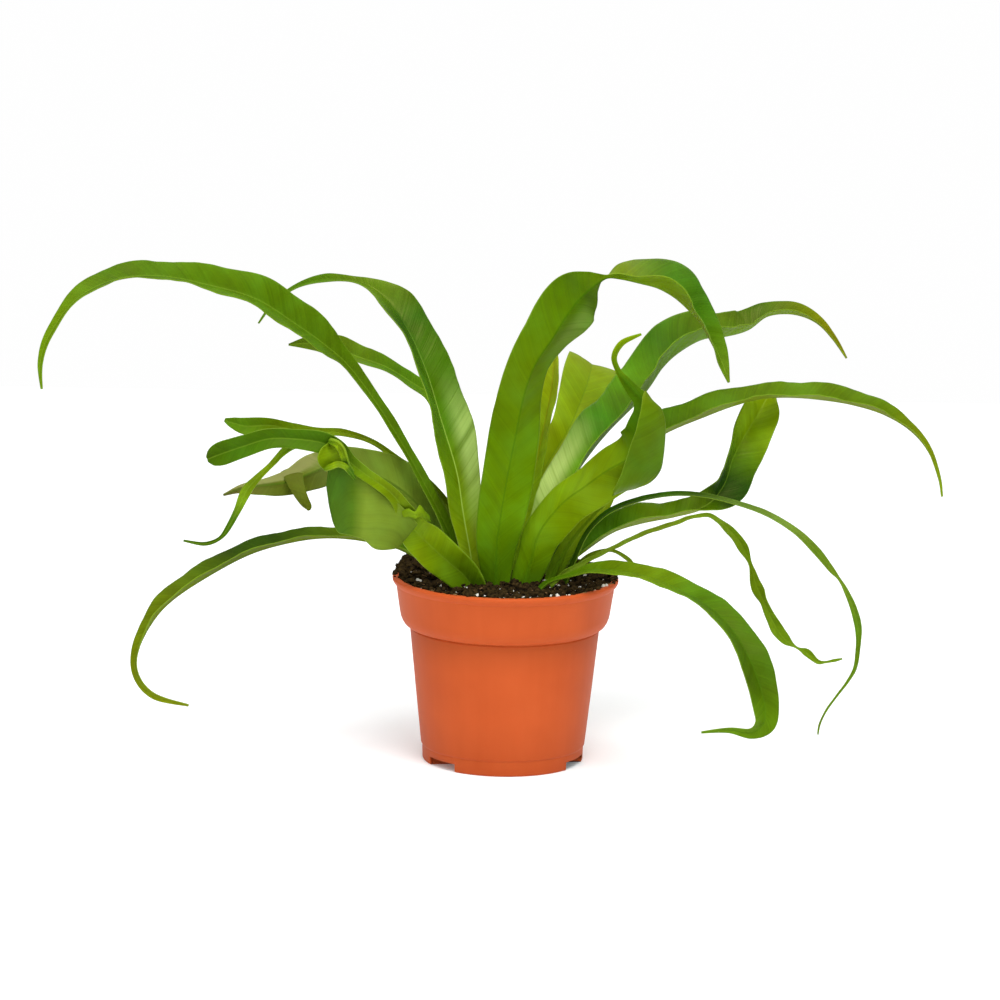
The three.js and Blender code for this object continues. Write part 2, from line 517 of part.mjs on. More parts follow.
function soilGeometry() {
  const topRadius = collarTopRadius - POT_WALL - 0.3 - GAP;
  const side = [
    [bodyRadiusAt(floorTopZ) - POT_WALL - GAP, floorTopZ + GAP],
    [SHOULDER_RADIUS - POT_WALL - GAP, SHOULDER_Z + 0.8 + GAP],
    [COLLAR_BOTTOM_RADIUS - POT_WALL - GAP, COLLAR_BOTTOM_Z + 1.2 + GAP],
  ];
  const rings = side.map(([radius, z]) => ({ radius, z }));
  for (let i = SOIL_RINGS; i >= 1; i -= 1) {
    rings.push({ radius: (topRadius * i) / SOIL_RINGS, z: null });
  }
  const positions = [0, 0, floorTopZ + GAP];
  for (const { radius, z } of rings) {
    for (let k = 0; k < SOIL_SIDES; k += 1) {
      const angle = (k / SOIL_SIDES) * 2 * Math.PI;
      const x = radius * Math.cos(angle);
      const y = radius * Math.sin(angle);
      positions.push(x, y, z ?? soilTopZ(x, y));
    }
  }
  positions.push(0, 0, soilTopZ(0, 0));
  const topCentre = positions.length / 3 - 1;
  const index = [];
  for (let k = 0; k < SOIL_SIDES; k += 1) {
    const next = (k + 1) % SOIL_SIDES;
    index.push(0, 1 + next, 1 + k);
    for (let r = 0; r < rings.length - 1; r += 1) {
      const low = 1 + r * SOIL_SIDES;
      const high = low + SOIL_SIDES;
      index.push(low + k, low + next, high + next, low + k, high + next, high + k);
    }
    const innermost = 1 + (rings.length - 1) * SOIL_SIDES;
    index.push(innermost + k, innermost + next, topCentre);
  }
  const geometry = new THREE.BufferGeometry();
  geometry.setAttribute('position', new THREE.Float32BufferAttribute(positions, 3));
  geometry.setIndex(index);
  return geometry;
}

// ---- Crown: the short rhizome in the middle of the soil ----------------------------------------

function crownGeometry(grow = 0) {
  const height = CROWN_TOP_Z - CROWN_BOTTOM_Z;
  const outline = [
    [0, -grow],
    [0.55 + grow / CROWN_WIDTH, -grow],
    [0.9, height * 0.3],
    [1, height * 0.62],
    [0.93, height * 0.84],
    [0.7, height * 0.96],
    [0.35, height],
    [0, height + grow],
  ];
  return turned(outline, CROWN_SIDES)
    .scale(CROWN_WIDTH / 2 + grow, CROWN_DEPTH / 2 + grow, 1)
    .translate(0, -2, CROWN_BOTTOM_Z);
}

// ---- Assembly ----------------------------------------------------------------------------------

// Plain holes for the frond bases, a little larger than the bases all round.
const sockets = Object.values(FRONDS)
  .map((frond) => toSolid(bladeGeometry(frond, GAP + 0.05, SOCKET_LENGTH)));
const cutHoles = (solid) => sockets.reduce((rest, socket) => rest.subtract(socket), solid);

const soil = toSolid(soilGeometry()).subtract(toSolid(crownGeometry(GAP)));
const crown = toSolid(crownGeometry());

addNode('pot', potGeometry(), material(0xcf6232, 0.55));
addNode('soil', toGeometry(biggestOf(cutHoles(soil))), material(0x33241b, 0.95));
addNode('crown', toGeometry(biggestOf(cutHoles(crown))), material(0x3b2a1c, 0.9));

for (const [name, frond] of Object.entries(FRONDS)) {
  let geometry = bladeGeometry(frond);
  if (frond.lobe) {
    geometry = toGeometry(toSolid(geometry).add(toSolid(bladeGeometry(frond.lobe))));
  }
  addNode(name, geometry, material(frond.colour, 0.35));
}

export default fern;
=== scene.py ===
# Potted fern: an open rosette of nineteen long strap-shaped fronds in a plain moulded nursery pot.
# Metres, +Z up. The origin is on the pot's axis at the level that the pot stands on, and the
# front of the plant faces -Y.

import math
import random

import bmesh
import bpy
from mathutils import Matrix, Vector, noise


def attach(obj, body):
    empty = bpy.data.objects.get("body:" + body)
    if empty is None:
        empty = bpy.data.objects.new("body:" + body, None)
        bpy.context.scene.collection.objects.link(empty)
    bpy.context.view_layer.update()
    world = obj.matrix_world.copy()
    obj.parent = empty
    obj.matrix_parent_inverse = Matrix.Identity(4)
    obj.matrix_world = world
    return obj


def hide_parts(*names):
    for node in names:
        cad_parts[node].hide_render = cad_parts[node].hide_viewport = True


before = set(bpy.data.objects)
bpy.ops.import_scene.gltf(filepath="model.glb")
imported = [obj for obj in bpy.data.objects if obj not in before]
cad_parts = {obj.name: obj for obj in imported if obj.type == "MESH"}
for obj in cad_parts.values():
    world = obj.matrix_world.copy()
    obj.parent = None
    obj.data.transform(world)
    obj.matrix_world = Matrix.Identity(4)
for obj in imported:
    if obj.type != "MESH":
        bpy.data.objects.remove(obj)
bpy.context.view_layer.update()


# ---- Camera ----------------------------------------------
# A long lens looks a little down on the plant from straight in front of it. The camera is held
# very slightly askew.

CAMERA_PLACE = Vector((0, -2.2, 0.55458))
CAMERA_AIM = Vector((-0.00365, 0, 0.13995))
CAMERA_LENS_MM = 152.4
CAMERA_SENSOR_MM = 36
CAMERA_ROLL = 0.01733

scene = bpy.context.scene
camera = bpy.data.objects.new("camera", bpy.data.cameras.new("camera"))
camera.data.lens = CAMERA_LENS_MM
camera.data.sensor_width = CAMERA_SENSOR_MM
camera.location = CAMERA_PLACE
towards = (CAMERA_AIM - CAMERA_PLACE).to_track_quat("-Z", "Y").to_matrix()
camera.rotation_euler = (towards @ Matrix.Rotation(CAMERA_ROLL, 3, "Z")).to_euler()
scene.collection.objects.link(camera)
scene.camera = camera


# ---- Floor and light -------------------------------------
# A plain white floor under a white studio. The light is a soft sky that is strongest overhead,
# with a broad soft glow from the front and one large soft box above the plant.

FLOOR_HALF = 1.2
FLOOR_PAINT = {"Base Color": (0.96, 0.968, 0.975, 1), "Roughness": 0.9, "Specular IOR Level": 0.2,
               "Emission Color": (0.9, 0.98, 1, 1), "Emission Strength": 0.1}
BACKDROP_WHITE = 0.995
SIDE_LIGHT = 0.2
TOP_LIGHT = 1.15
SKY_RISE = (0.1, 0.95)            # sines of the heights where it starts to grow and is full
FRONT_LIGHT = 0.8
FRONT_LIGHT_FROM = Vector((-0.06, -0.85, 0.6)).normalized()
FRONT_LIGHT_REACH = (0.52, 0.95)  # cosines at its rim and at its full strength
SOFT_BOX = {"place": (0.25, -0.75, 1.55), "side": 0.7, "watts": 14}


def put(tree, kind, inputs=None, **settings):
    """One shader node: its settings, then its sockets, each a number, a colour or another's output."""
    node = tree.nodes.new(kind)
    for name, value in settings.items():
        setattr(node, name, value)
    for name, value in (inputs or {}).items():
        if isinstance(value, bpy.types.NodeSocket):
            tree.links.new(value, node.inputs[name])
        else:
            node.inputs[name].default_value = value
    return node


def maths(tree, operation, *terms):
    """The result of one operation on its terms."""
    return put(tree, "ShaderNodeMath", dict(enumerate(terms)), operation=operation).outputs[0]


def ranged(tree, value, before, after=(0, 1), smooth=False):
    """A value carried from one range to another and held within it."""
    ends = {"Value": value, "From Min": before[0], "From Max": before[1], "To Min": after[0],
            "To Max": after[1]}
    kind = "SMOOTHSTEP" if smooth else "LINEAR"
    return put(tree, "ShaderNodeMapRange", ends, interpolation_type=kind).outputs[0]


def new_finish(name, sockets):
    """A material of one Principled shader with its constant sockets set: it, its shader and tree."""
    finish = bpy.data.materials.new(name)
    finish.use_nodes = True
    shader = finish.node_tree.nodes["Principled BSDF"]
    for socket, value in sockets.items():
        shader.inputs[socket].default_value = value
    return finish, shader, finish.node_tree


def new_piece(name, bm, *finishes):
    """Turns a bmesh into an object of that name, at the origin, with its materials."""
    mesh = bpy.data.meshes.new(name)
    bm.to_mesh(mesh)
    bm.free()
    mesh.shade_smooth()
    for finish in finishes:
        mesh.materials.append(finish)
    piece = bpy.data.objects.new(name, mesh)
    scene.collection.objects.link(piece)
    return piece


bm = bmesh.new()
bmesh.ops.create_grid(bm, x_segments=1, y_segments=1, size=FLOOR_HALF)
new_piece("floor", bm, new_finish("floor_paint", FLOOR_PAINT)[0])

world = bpy.data.worlds.new("studio")
world.use_nodes = True
sky = world.node_tree
side = put(sky, "ShaderNodeTexCoord").outputs["Generated"]
height = put(sky, "ShaderNodeSeparateXYZ", {"Vector": side}).outputs["Z"]
overhead = ranged(sky, height, SKY_RISE, (SIDE_LIGHT, TOP_LIGHT), smooth=True)
facing = put(sky, "ShaderNodeVectorMath", {0: side, 1: FRONT_LIGHT_FROM},
             operation="DOT_PRODUCT").outputs["Value"]
glow = ranged(sky, facing, FRONT_LIGHT_REACH, (0, FRONT_LIGHT), smooth=True)
seen = put(sky, "ShaderNodeLightPath").outputs["Is Camera Ray"]
strength = ranged(sky, seen, (0, 1), (maths(sky, "ADD", overhead, glow), BACKDROP_WHITE))
sky.links.new(strength, sky.nodes["Background"].inputs["Strength"])
sky.nodes["Background"].inputs["Color"].default_value = (1, 1, 1, 1)
scene.world = world
lamp = bpy.data.lights.new("soft_box", "AREA")
lamp.size = SOFT_BOX["side"]
lamp.energy = SOFT_BOX["watts"]
holder = bpy.data.objects.new("soft_box", lamp)
holder.location = SOFT_BOX["place"]
holder.rotation_euler = (-Vector(SOFT_BOX["place"])).to_track_quat("-Z", "Y").to_euler()
scene.collection.objects.link(holder)
scene.view_settings.view_transform = "Standard"


# ---- Pot -------------------------------------------------
# A thin nursery pot, injection moulded in terracotta coloured plastic: a tapered wall, a wide
# collar and a thickened lip. It stands on a low skirt with three drainage notches, and its raised
# floor has six drain holes.

MM = 0.001
POT_OUTSIDE_MM = [
    (42.3, 0), (42.8, 0.7), (42.95, 4.4), (43.1, 8), (43.7, 9), (47.05, 40), (50.35, 71.3),
    (49.95, 71.9), (50.1, 72.3), (51.9, 72.8), (53.4, 74), (54.6, 75.9), (55.4, 78), (55.8, 80),
    (58, 94.6), (58.5, 95.0), (59.3, 95.9), (59.9, 97), (60, 98.1), (59.6, 98.8), (59, 99),
]
POT_INSIDE_MM = [
    (56.8, 99), (56.5, 94.8), (54.6, 81.2), (49.2, 71.8), (42.2, 6.4), (41.2, 5), (41.15, 4.4),
    (41.12, 0.7), (41.1, 0),
]
POT_SIDES = 360
NOTCH_TOP_MM = 4.4
NOTCH_HALF_DEG = 14
NOTCH_AZIMUTHS_DEG = (-50, 66, 188)
FLOOR_LEVELS_MM = (5, 6.4)
FLOOR_RADIUS_MM = 42.0
DRAIN_HOLES = 6
DRAIN_RADIUS_MM = 3.5
DRAIN_CIRCLE_MM = 29
SKIRT_MM = (43, 8)                # its radius and height
SHARP_BEND = math.radians(24)
EDGE_ROUND_MM = 0.3

TERRACOTTA = (0.56, 0.096, 0.022, 1)
TERRACOTTA_DEEP = (0.49, 0.077, 0.016, 1)
CLAY_SOCKETS = {"Specular IOR Level": 0.2, "Specular Tint": (1, 0.7, 0.45, 1),
                "Subsurface Weight": 0.08, "Subsurface Radius": (1.0, 0.35, 0.15),
                "Subsurface Scale": 2 * MM}
CLAY_ROUGHNESS = (0.5, 0.62)
CLOUD_SCALE = 28
FLOW_LINES_SCALE = (190, 190, 14)
PEEL_SCALE = 900
# painted shade from the foot to the lip, darker at the foot and just under the collar: share of the
# height, and how much of the colour is left
PAINTED_SHADE = ((0, 0.80), (0.1, 0.86), (0.3, 0.95), (0.55, 0.95), (0.70, 0.82), (0.73, 0.96), (1, 1))
PAINTED_SHADE_HEIGHT = 0.1              # the height that the last stop of PAINTED_SHADE stands for


def speckle(tree, place, scale, detail, roughness=0.5):
    """Soft noise that changes about so many times in a metre."""
    return put(tree, "ShaderNodeTexNoise", {"Vector": place, "Scale": scale, "Detail": detail,
                                            "Roughness": roughness}).outputs["Fac"]


def blend(tree, share, first, second, way="MIX"):
    """The colour between two, by the share of the second."""
    mix = put(tree, "ShaderNodeMix", {0: share, 6: first, 7: second}, data_type="RGBA",
              blend_type=way)
    return mix.outputs[2]


def banded(tree, share, stops):
    """A colour that runs through the stops, each a share and a colour."""
    ramp = put(tree, "ShaderNodeValToRGB", {"Fac": share})
    while len(ramp.color_ramp.elements) < len(stops):
        ramp.color_ramp.elements.new(1)
    for element, (place, shade) in zip(ramp.color_ramp.elements, stops):
        element.position = place
        element.color = shade
    return ramp.outputs["Color"]


def embossed(tree, height, strength, depth):
    """The surface direction over a relief of the given depth."""
    return put(tree, "ShaderNodeBump", {"Height": height, "Strength": strength,
                                        "Distance": depth}).outputs[0]


def clay_plastic():
    """Matt terracotta plastic: faint clouds of pigment, fine flow lines and an orange-peel skin. It
    has painted shade near the foot and just under the collar."""
    finish, shader, tree = new_finish("terracotta_plastic", CLAY_SOCKETS)
    here = put(tree, "ShaderNodeTexCoord").outputs["Object"]
    clouds = speckle(tree, here, CLOUD_SCALE, 3)
    drawn = put(tree, "ShaderNodeMapping", {"Vector": here, "Scale": FLOW_LINES_SCALE})
    both = maths(tree, "MULTIPLY_ADD", speckle(tree, drawn.outputs[0], 1, 2), 0.35, clouds)
    shade = blend(tree, ranged(tree, both, (0.4, 0.95)), TERRACOTTA_DEEP, TERRACOTTA)
    height = put(tree, "ShaderNodeSeparateXYZ", {"Vector": here}).outputs["Z"]
    share = maths(tree, "MULTIPLY", height, 1 / PAINTED_SHADE_HEIGHT)
    # painted shade: the colour is darkened near the foot and just under the collar
    painted_shade = banded(tree, share, [(place, (tone, tone, tone, 1)) for place, tone in PAINTED_SHADE])
    tree.links.new(blend(tree, 1.0, shade, painted_shade, "MULTIPLY"), shader.inputs["Base Color"])
    tree.links.new(ranged(tree, clouds, (0, 1), CLAY_ROUGHNESS), shader.inputs["Roughness"])
    peel = embossed(tree, speckle(tree, here, PEEL_SCALE, 2), 0.12, 0.1 * MM)
    tree.links.new(peel, shader.inputs["Normal"])
    return finish


def turned(profile_mm, sides, cuts=0, closed=False):
    """A bmesh of a profile, of radii and heights, turned round the axis."""
    bm = bmesh.new()
    line = [bm.verts.new((0, -r * MM, z * MM)) for r, z in profile_mm]
    edges = [bm.edges.new((a, b)) for a, b in zip(line, line[1:] + line[:1] * closed)]
    if cuts:
        bmesh.ops.subdivide_edges(bm, edges=edges, cuts=cuts, use_grid_fill=False)
    bmesh.ops.spin(bm, geom=bm.verts[:] + bm.edges[:], axis=(0, 0, 1), cent=(0, 0, 0),
                   angle=math.tau, steps=sides, use_merge=True)
    if not closed:
        bmesh.ops.remove_doubles(bm, verts=bm.verts, dist=0.01 * MM)
    return bm


def in_notch(face):
    """Whether a face of the skirt lies in one of its notches."""
    middle = face.calc_center_median()
    if middle.z > NOTCH_TOP_MM * MM:
        return False
    azimuth = math.degrees(math.atan2(middle.x, -middle.y))
    turns = [(azimuth - notch + 180) % 360 - 180 for notch in NOTCH_AZIMUTHS_DEG]
    return min(abs(turn) for turn in turns) < NOTCH_HALF_DEG


bm = turned(POT_OUTSIDE_MM + POT_INSIDE_MM, POT_SIDES, closed=True)
bmesh.ops.recalc_face_normals(bm, faces=bm.faces)
bmesh.ops.delete(bm, geom=[f for f in bm.faces if in_notch(f)], context="FACES")
open_edges = [e for e in bm.edges if e.is_boundary]
walls = [e for e in open_edges if abs(e.verts[0].co.z - e.verts[1].co.z) > 0.1 * MM
         or min(v.co.z for v in e.verts) > 1 * MM]
bmesh.ops.bridge_loops(bm, edges=walls)
bmesh.ops.recalc_face_normals(bm, faces=bm.faces)
bends = [e for e in bm.edges if len(e.link_faces) == 2 and e.calc_face_angle() > SHARP_BEND]
bmesh.ops.bevel(bm, geom=bends, offset=EDGE_ROUND_MM * MM, segments=2, profile=0.5,
                affect="EDGES", clamp_overlap=True, material=-1)
for v in bm.verts:
    if v.co.z < SKIRT_MM[1] * MM:
        v.co.z = max(v.co.z, 0)
        v.co.xy *= min(1, SKIRT_MM[0] * MM / v.co.xy.length)
low = FLOOR_LEVELS_MM[0] * MM
rings = [bmesh.ops.create_circle(bm, segments=120, radius=FLOOR_RADIUS_MM * MM,
                                 matrix=Matrix.Translation((0, 0, low)))]
for i in range(DRAIN_HOLES):
    turn = math.radians((i + 0.5) / DRAIN_HOLES * 360)
    place = Vector((math.cos(turn), math.sin(turn), 0)) * DRAIN_CIRCLE_MM * MM
    place.z = low
    rings.append(bmesh.ops.create_circle(bm, segments=24, radius=DRAIN_RADIUS_MM * MM,
                                         matrix=Matrix.Translation(place)))
loops = {e for ring in rings for v in ring["verts"] for e in v.link_edges}
plate = bmesh.ops.triangle_fill(bm, edges=list(loops), use_beauty=True, normal=(0, 0, -1))
faces = [f for f in plate["geom"] if isinstance(f, bmesh.types.BMFace)]
grown = bmesh.ops.extrude_face_region(bm, geom=faces, use_keep_orig=True)
lifted = [v for v in grown["geom"] if isinstance(v, bmesh.types.BMVert)]
bmesh.ops.translate(bm, verts=lifted, vec=(0, 0, FLOOR_LEVELS_MM[1] * MM - low))
bmesh.ops.recalc_face_normals(bm, faces=bm.faces)
pot = new_piece("pot_shell", bm, clay_plastic())
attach(pot, "root")
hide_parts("pot")


# ---- Soil ------------------------------------------------
# Peat based potting mix, filled nearly to the rim and heaped against it at the back left. Its top
# is rough with crumbs, and it fills the pot down to the raised floor.

SOIL_LEVEL_MM = 96.4
SOIL_MOUND_MM = 2.0
SOIL_MOUND_SPREAD_MM = 34
HEAP_PLACE_MM = (-47, 21)
HEAP_HEIGHT_MM = 8
HEAP_SPREAD_MM = 13
LUMP_HEIGHT_MM = 0.55
CLOD_HEIGHT_MM = 1.9
SOIL_TOP_RADIUS_MM = 56.2
SOIL_SIDE_MM = [(54.3, 82.7), (48.9, 72.1), (41.9, 6.7), (0, 6.7)]
SOIL_RINGS = 64
SOIL_SIDES = 220

PEAT_DARK = (0.0035, 0.0018, 0.0009, 1)
PEAT_LIGHT = (0.013, 0.0075, 0.003, 1)
PEAT_SOCKETS = {"Roughness": 0.95, "Specular IOR Level": 0.06}


def soil_height_mm(x, y):
    """Height of the soil at a place in millimetres from the axis, before its crumbs."""
    heap = math.exp(-math.dist((x, y), HEAP_PLACE_MM) ** 2 / HEAP_SPREAD_MM ** 2)
    lumps = (math.sin(x * 0.31 + 1.3) * math.cos(y * 0.37 + 0.4)
             + 0.6 * math.sin(x * 0.73 - y * 0.52) + 0.4 * math.cos(x * 0.41 + y * 1.07 + 2))
    mound = math.exp(-(x * x + y * y) / SOIL_MOUND_SPREAD_MM ** 2)
    return SOIL_LEVEL_MM + HEAP_HEIGHT_MM * heap + SOIL_MOUND_MM * mound + LUMP_HEIGHT_MM * lumps


def peat(name, dark, light, size):
    """Matt crumbly stuff in two shades, mottled at about the given size."""
    finish, shader, tree = new_finish(name, PEAT_SOCKETS)
    here = put(tree, "ShaderNodeTexCoord").outputs["Object"]
    grains = speckle(tree, here, 1 / size, 5, 0.7)
    shade = blend(tree, ranged(tree, grains, (0.36, 0.68)), dark, light)
    tree.links.new(shade, shader.inputs["Base Color"])
    tree.links.new(embossed(tree, grains, 0.8, size / 3), shader.inputs["Normal"])
    return finish


top = [(i / SOIL_RINGS * SOIL_TOP_RADIUS_MM, SOIL_LEVEL_MM) for i in range(SOIL_RINGS + 1)]
bm = turned(top + SOIL_SIDE_MM, SOIL_SIDES)
for v in bm.verts:
    if abs(v.co.z - SOIL_LEVEL_MM * MM) > 0.1 * MM:
        continue
    x, y = v.co.x / MM, v.co.y / MM
    clods = noise.noise(Vector((x, y, 3)) * 0.35) + 0.6 * noise.noise(Vector((x, y, 8)) * 0.9)
    v.co.z = (soil_height_mm(x, y) + CLOD_HEIGHT_MM * clods) * MM
bmesh.ops.recalc_face_normals(bm, faces=bm.faces)
soil = new_piece("soil_body", bm, peat("potting_mix", PEAT_DARK, PEAT_LIGHT, 2.2 * MM))
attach(soil, "root")
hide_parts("soil")


# ---- Crumbs, perlite and bark ----------------------------
# Loose grains on the soil: dark peat crumbs, a few of them on the lip, white expanded perlite,
# and thin tan slivers of bark and fibre.

CRUMBS = {"count": 2100, "size": (0.5, 2.1), "seed": 11}
HEAP_CRUMBS = {"count": 190, "size": (0.9, 2.6), "seed": 12, "middle": HEAP_PLACE_MM, "spread": 8}
PERLITE = {"count": 260, "size": (0.4, 1.35), "seed": 5}
SLIVERS = {"count": 340, "size": (0.28, 0.7), "seed": 9}
SLIVER_STRETCH = 4.5
GRAIN_FLATNESS = 0.8
GRAIN_DENTS = 0.28                # as a share of its size
GRAIN_RISE = 0.35                 # how far its middle lies above the soil, as a share of its size
GRAINS_OUT_TO_MM = 57.2
LIP_OUT_TO_MM = 58.9
LIP_TOP_MM = 98.7
LIP_FROM_MM = 56
CROWN_TOP_MM = 99.4
CROWN_DROP_MM = 3.2
CROWN_HALF_MM = (31, 24)
CROWN_BACK_MM = -2
LEFT_LIP_CRUMBS = {"count": 110, "size": (0.5, 1.5), "seed": 14, "middle": (-55, 9), "spread": 9}
RIGHT_LIP_CRUMBS = {"count": 90, "size": (0.4, 1.2), "seed": 15, "middle": (57, -2), "spread": 6}
BACK_LIP_CRUMBS = {"count": 70, "size": (0.4, 1.2), "seed": 16, "middle": (38, 43), "spread": 9}

PERLITE_WHITE = (0.90, 0.88, 0.84, 1)
PERLITE_SHADE = (0.62, 0.58, 0.50, 1)
CRUMB_LIGHT = (0.062, 0.038, 0.012, 1)
BARK_TAN = (0.36, 0.21, 0.09, 1)
BARK_BROWN = (0.07, 0.035, 0.016, 1)


def lay_grain(bm, place_mm, size_mm, stretch, rounds, dice):
    """One rough grain of the given half-size, turned and dented by the dice."""
    turn = Matrix.Rotation(dice.uniform(0, math.tau), 4, "Z")
    tilt = Matrix.Rotation(dice.uniform(-0.5, 0.5), 4, "Y")
    shape = Matrix.Diagonal((size_mm * stretch, size_mm, size_mm * GRAIN_FLATNESS, 1))
    place = Matrix.Translation(Vector(place_mm) * MM)
    grain = bmesh.ops.create_icosphere(bm, subdivisions=rounds, radius=MM,
                                       matrix=place @ turn @ tilt @ shape)
    for v in grain["verts"]:
        dent = Vector((dice.uniform(-1, 1), dice.uniform(-1, 1), dice.uniform(-1, 1)))
        v.co += dent * size_mm * GRAIN_DENTS * MM


def scatter(bm, count, size, seed, stretch=1.0, rounds=1, middle=(0, 0), spread=None,
            out_to=GRAINS_OUT_TO_MM):
    """Grains strewn over the soil, evenly over all of it or thickly about one place."""
    dice = random.Random(seed)
    for _ in range(count):
        size_mm = dice.uniform(*size)
        turn = dice.uniform(0, math.tau)
        reach = abs(dice.gauss(0, spread)) if spread else out_to * dice.random() ** 0.5
        x = middle[0] + reach * math.cos(turn)
        y = middle[1] + reach * math.sin(turn)
        away = math.hypot(x, y)
        if away > out_to:
            x, y = x * out_to / away, y * out_to / away
        off_crown = math.hypot(x / CROWN_HALF_MM[0], (y - CROWN_BACK_MM) / CROWN_HALF_MM[1])
        top = max(soil_height_mm(x, y), CROWN_TOP_MM - CROWN_DROP_MM * off_crown ** 4)
        if away > LIP_FROM_MM:
            top = max(top, LIP_TOP_MM)
        lay_grain(bm, (x, y, top + size_mm * GRAIN_RISE), size_mm, stretch, rounds, dice)


bm = bmesh.new()
scatter(bm, **CRUMBS)
scatter(bm, **HEAP_CRUMBS)
for crumbs_on_lip in (LEFT_LIP_CRUMBS, RIGHT_LIP_CRUMBS, BACK_LIP_CRUMBS):
    scatter(bm, **crumbs_on_lip, out_to=LIP_OUT_TO_MM)
crumbs = new_piece("peat_crumbs", bm, peat("peat_crumbs", PEAT_DARK, CRUMB_LIGHT, 2.4 * MM))

bm = bmesh.new()
scatter(bm, **PERLITE, rounds=2)
perlite = new_piece("perlite", bm, peat("perlite", PERLITE_SHADE, PERLITE_WHITE, 1.2 * MM))

bm = bmesh.new()
scatter(bm, **SLIVERS, stretch=SLIVER_STRETCH)
slivers = new_piece("bark_slivers", bm, peat("bark_slivers", BARK_BROWN, BARK_TAN, 4 * MM))

for piece in (crumbs, perlite, slivers):
    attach(piece, "root")


# ---- Crown -----------------------------------------------
# The short upright rhizome in the middle of the soil, which every frond grows from. It is brown
# and fibrous, and thin papery scales stand between the frond bases.

CROWN_OUTLINE_MM = [(0, 70), (17, 70), (27.9, 78.8), (31, 88.2), (28.8, 94.7), (21.7, 98.2),
                    (10.9, 99.4), (0, 99.4)]
CROWN_NARROWING = CROWN_HALF_MM[1] / CROWN_HALF_MM[0]
CROWN_SIDES = 120
CROWN_ROUGHNESS = 0.006           # as a share of its size
SCALES = 150
SCALE_HEIGHT_MM = (2, 5)
SCALE_FOOT_MM = 0.55
SCALE_TIP_MM = 0.05
SCALES_OUT_TO_MM = 29
SCALES_SUNK_MM = 1.5

RHIZOME_DARK = (0.022, 0.013, 0.006, 1)
RHIZOME_LIGHT = (0.10, 0.065, 0.028, 1)

bm = turned(CROWN_OUTLINE_MM, CROWN_SIDES, cuts=5)
for v in bm.verts:
    rough = noise.noise(v.co * 320) + 0.5 * noise.noise(v.co * 900)
    v.co *= 1 + CROWN_ROUGHNESS * rough
    v.co.y = v.co.y * CROWN_NARROWING + CROWN_BACK_MM * MM
bmesh.ops.recalc_face_normals(bm, faces=bm.faces)

dice = random.Random(31)
for _ in range(SCALES):
    turn = dice.uniform(0, math.tau)
    reach = SCALES_OUT_TO_MM * math.sqrt(dice.uniform(0.08, 1))
    x, y = reach * math.cos(turn), reach * math.sin(turn) * CROWN_NARROWING + CROWN_BACK_MM
    lean = Matrix.Rotation(dice.uniform(-0.5, 0.5), 4, "X") @ Matrix.Rotation(0.35, 4, "Y")
    place = Matrix.Translation(Vector((x, y, CROWN_TOP_MM - SCALES_SUNK_MM)) * MM)
    height = dice.uniform(*SCALE_HEIGHT_MM)
    bmesh.ops.create_cone(bm, cap_ends=True, segments=5, radius1=SCALE_FOOT_MM * MM,
                          radius2=SCALE_TIP_MM * MM, depth=height * MM,
                          matrix=place @ Matrix.Rotation(turn, 4, "Z") @ lean)
crown = new_piece("crown_rhizome", bm, peat("rhizome", RHIZOME_DARK, RHIZOME_LIGHT, 1.6 * MM))
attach(crown, "root")
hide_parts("crown")


# ---- How a frond is made ---------------------------------
# Each frond is one long leathery strap folded along its midrib, glossy above and matt below, with
# a keel under the midrib, fine side veins and waved margins. A Solidify modifier makes it thick at
# the stalk and thin at the margins.

SHEET_MM = 0.5
STALK_MM = 1.5
STALK_FADE_MM = 16
KEEL_MM = 0.45
KEEL_BASE_MM = 0.9
KEEL_FADE_MM = 45
KEEL_HALF_WIDTH_MM = 0.8
KEEL_LIMIT = 0.3                  # as a share of the half-width
THICKEST_MM = SHEET_MM + STALK_MM + KEEL_MM + KEEL_BASE_MM
LEAST_HALF_MM = 0.3
STATIONS_PER_ROW = 12
COLUMNS = 26
COLUMN_CROWDING = 1.2             # above 1, the columns stand closer together at the midrib
FLAP_STATIONS_PER_ROW = 10
FLAP_COLUMNS = 24
FLAP_ROW_MM = 6
CREASE = 0.14                     # how rounded the fold is, as a share of the half-width
CUP = 0.05                        # how hollow each half is, as a share of the half-width
VEIN_SLANT = 0.85                 # how far the side veins run up the blade as they run out
PUCKER_MM = 0.26
PUCKERS_PER_MM = 0.17
CRINKLE_MM = 0.4
CRINKLES_PER_MM = 0.16
FULL_WAVES_FROM_MM = 7            # the half-width from which waves have their full height
WAVE_LEAD = 1.1                   # how far each margin's waves are off the midrib's, in radians

# the fronds' rows are given as they are seen from the front, from this far off and this high
SIGHT_DISTANCE_MM = 2200
SIGHT_HEIGHT_MM = 555
SIGHT_SLOPE = math.radians(10.7)
TOWARDS_SIGHT = Vector((0, -math.cos(SIGHT_SLOPE), math.sin(SIGHT_SLOPE)))

LEAF_SOCKETS = {"Specular Tint": (1, 0.93, 0.28, 1), "Subsurface Weight": 0.1,
                "Subsurface Radius": (0.6, 1.0, 0.2), "Subsurface Scale": 1.2 * MM}
VEIN_SCALE = 780
BAND_SCALE = 150
LEAF_CLOUD_SCALE = 55
VEIN_WEIGHT = 0.9                 # beside bands, which weigh 1
CLOUD_WEIGHT = 3.0
SHADE_SPREAD = (1.75, 3.15)       # of veins, bands and clouds together
HUE_SPREAD = (0.488, 0.503)
RIB_LINE_MM = (0.15, 0.55)
RIB_SLIM = (0.1, 0.35)            # no rib colour past this share of a thin blade's half-width
RIB_FADE = 0.35                   # share of the length over which the rib's colour fades out
# the painted highlight on one half of a blade:
SHEEN_SPREAD = (0.1, 0.6)         # where it starts and is full, as shares of the half-width
MARGIN_SPREAD = (0.95, 1)
MARGIN_STRENGTH = 0.45
GLOSS_SPREAD = (-0.07, 0.1)
HALVES_APART = 3.0                # how far apart in the noise the veins of the two halves lie

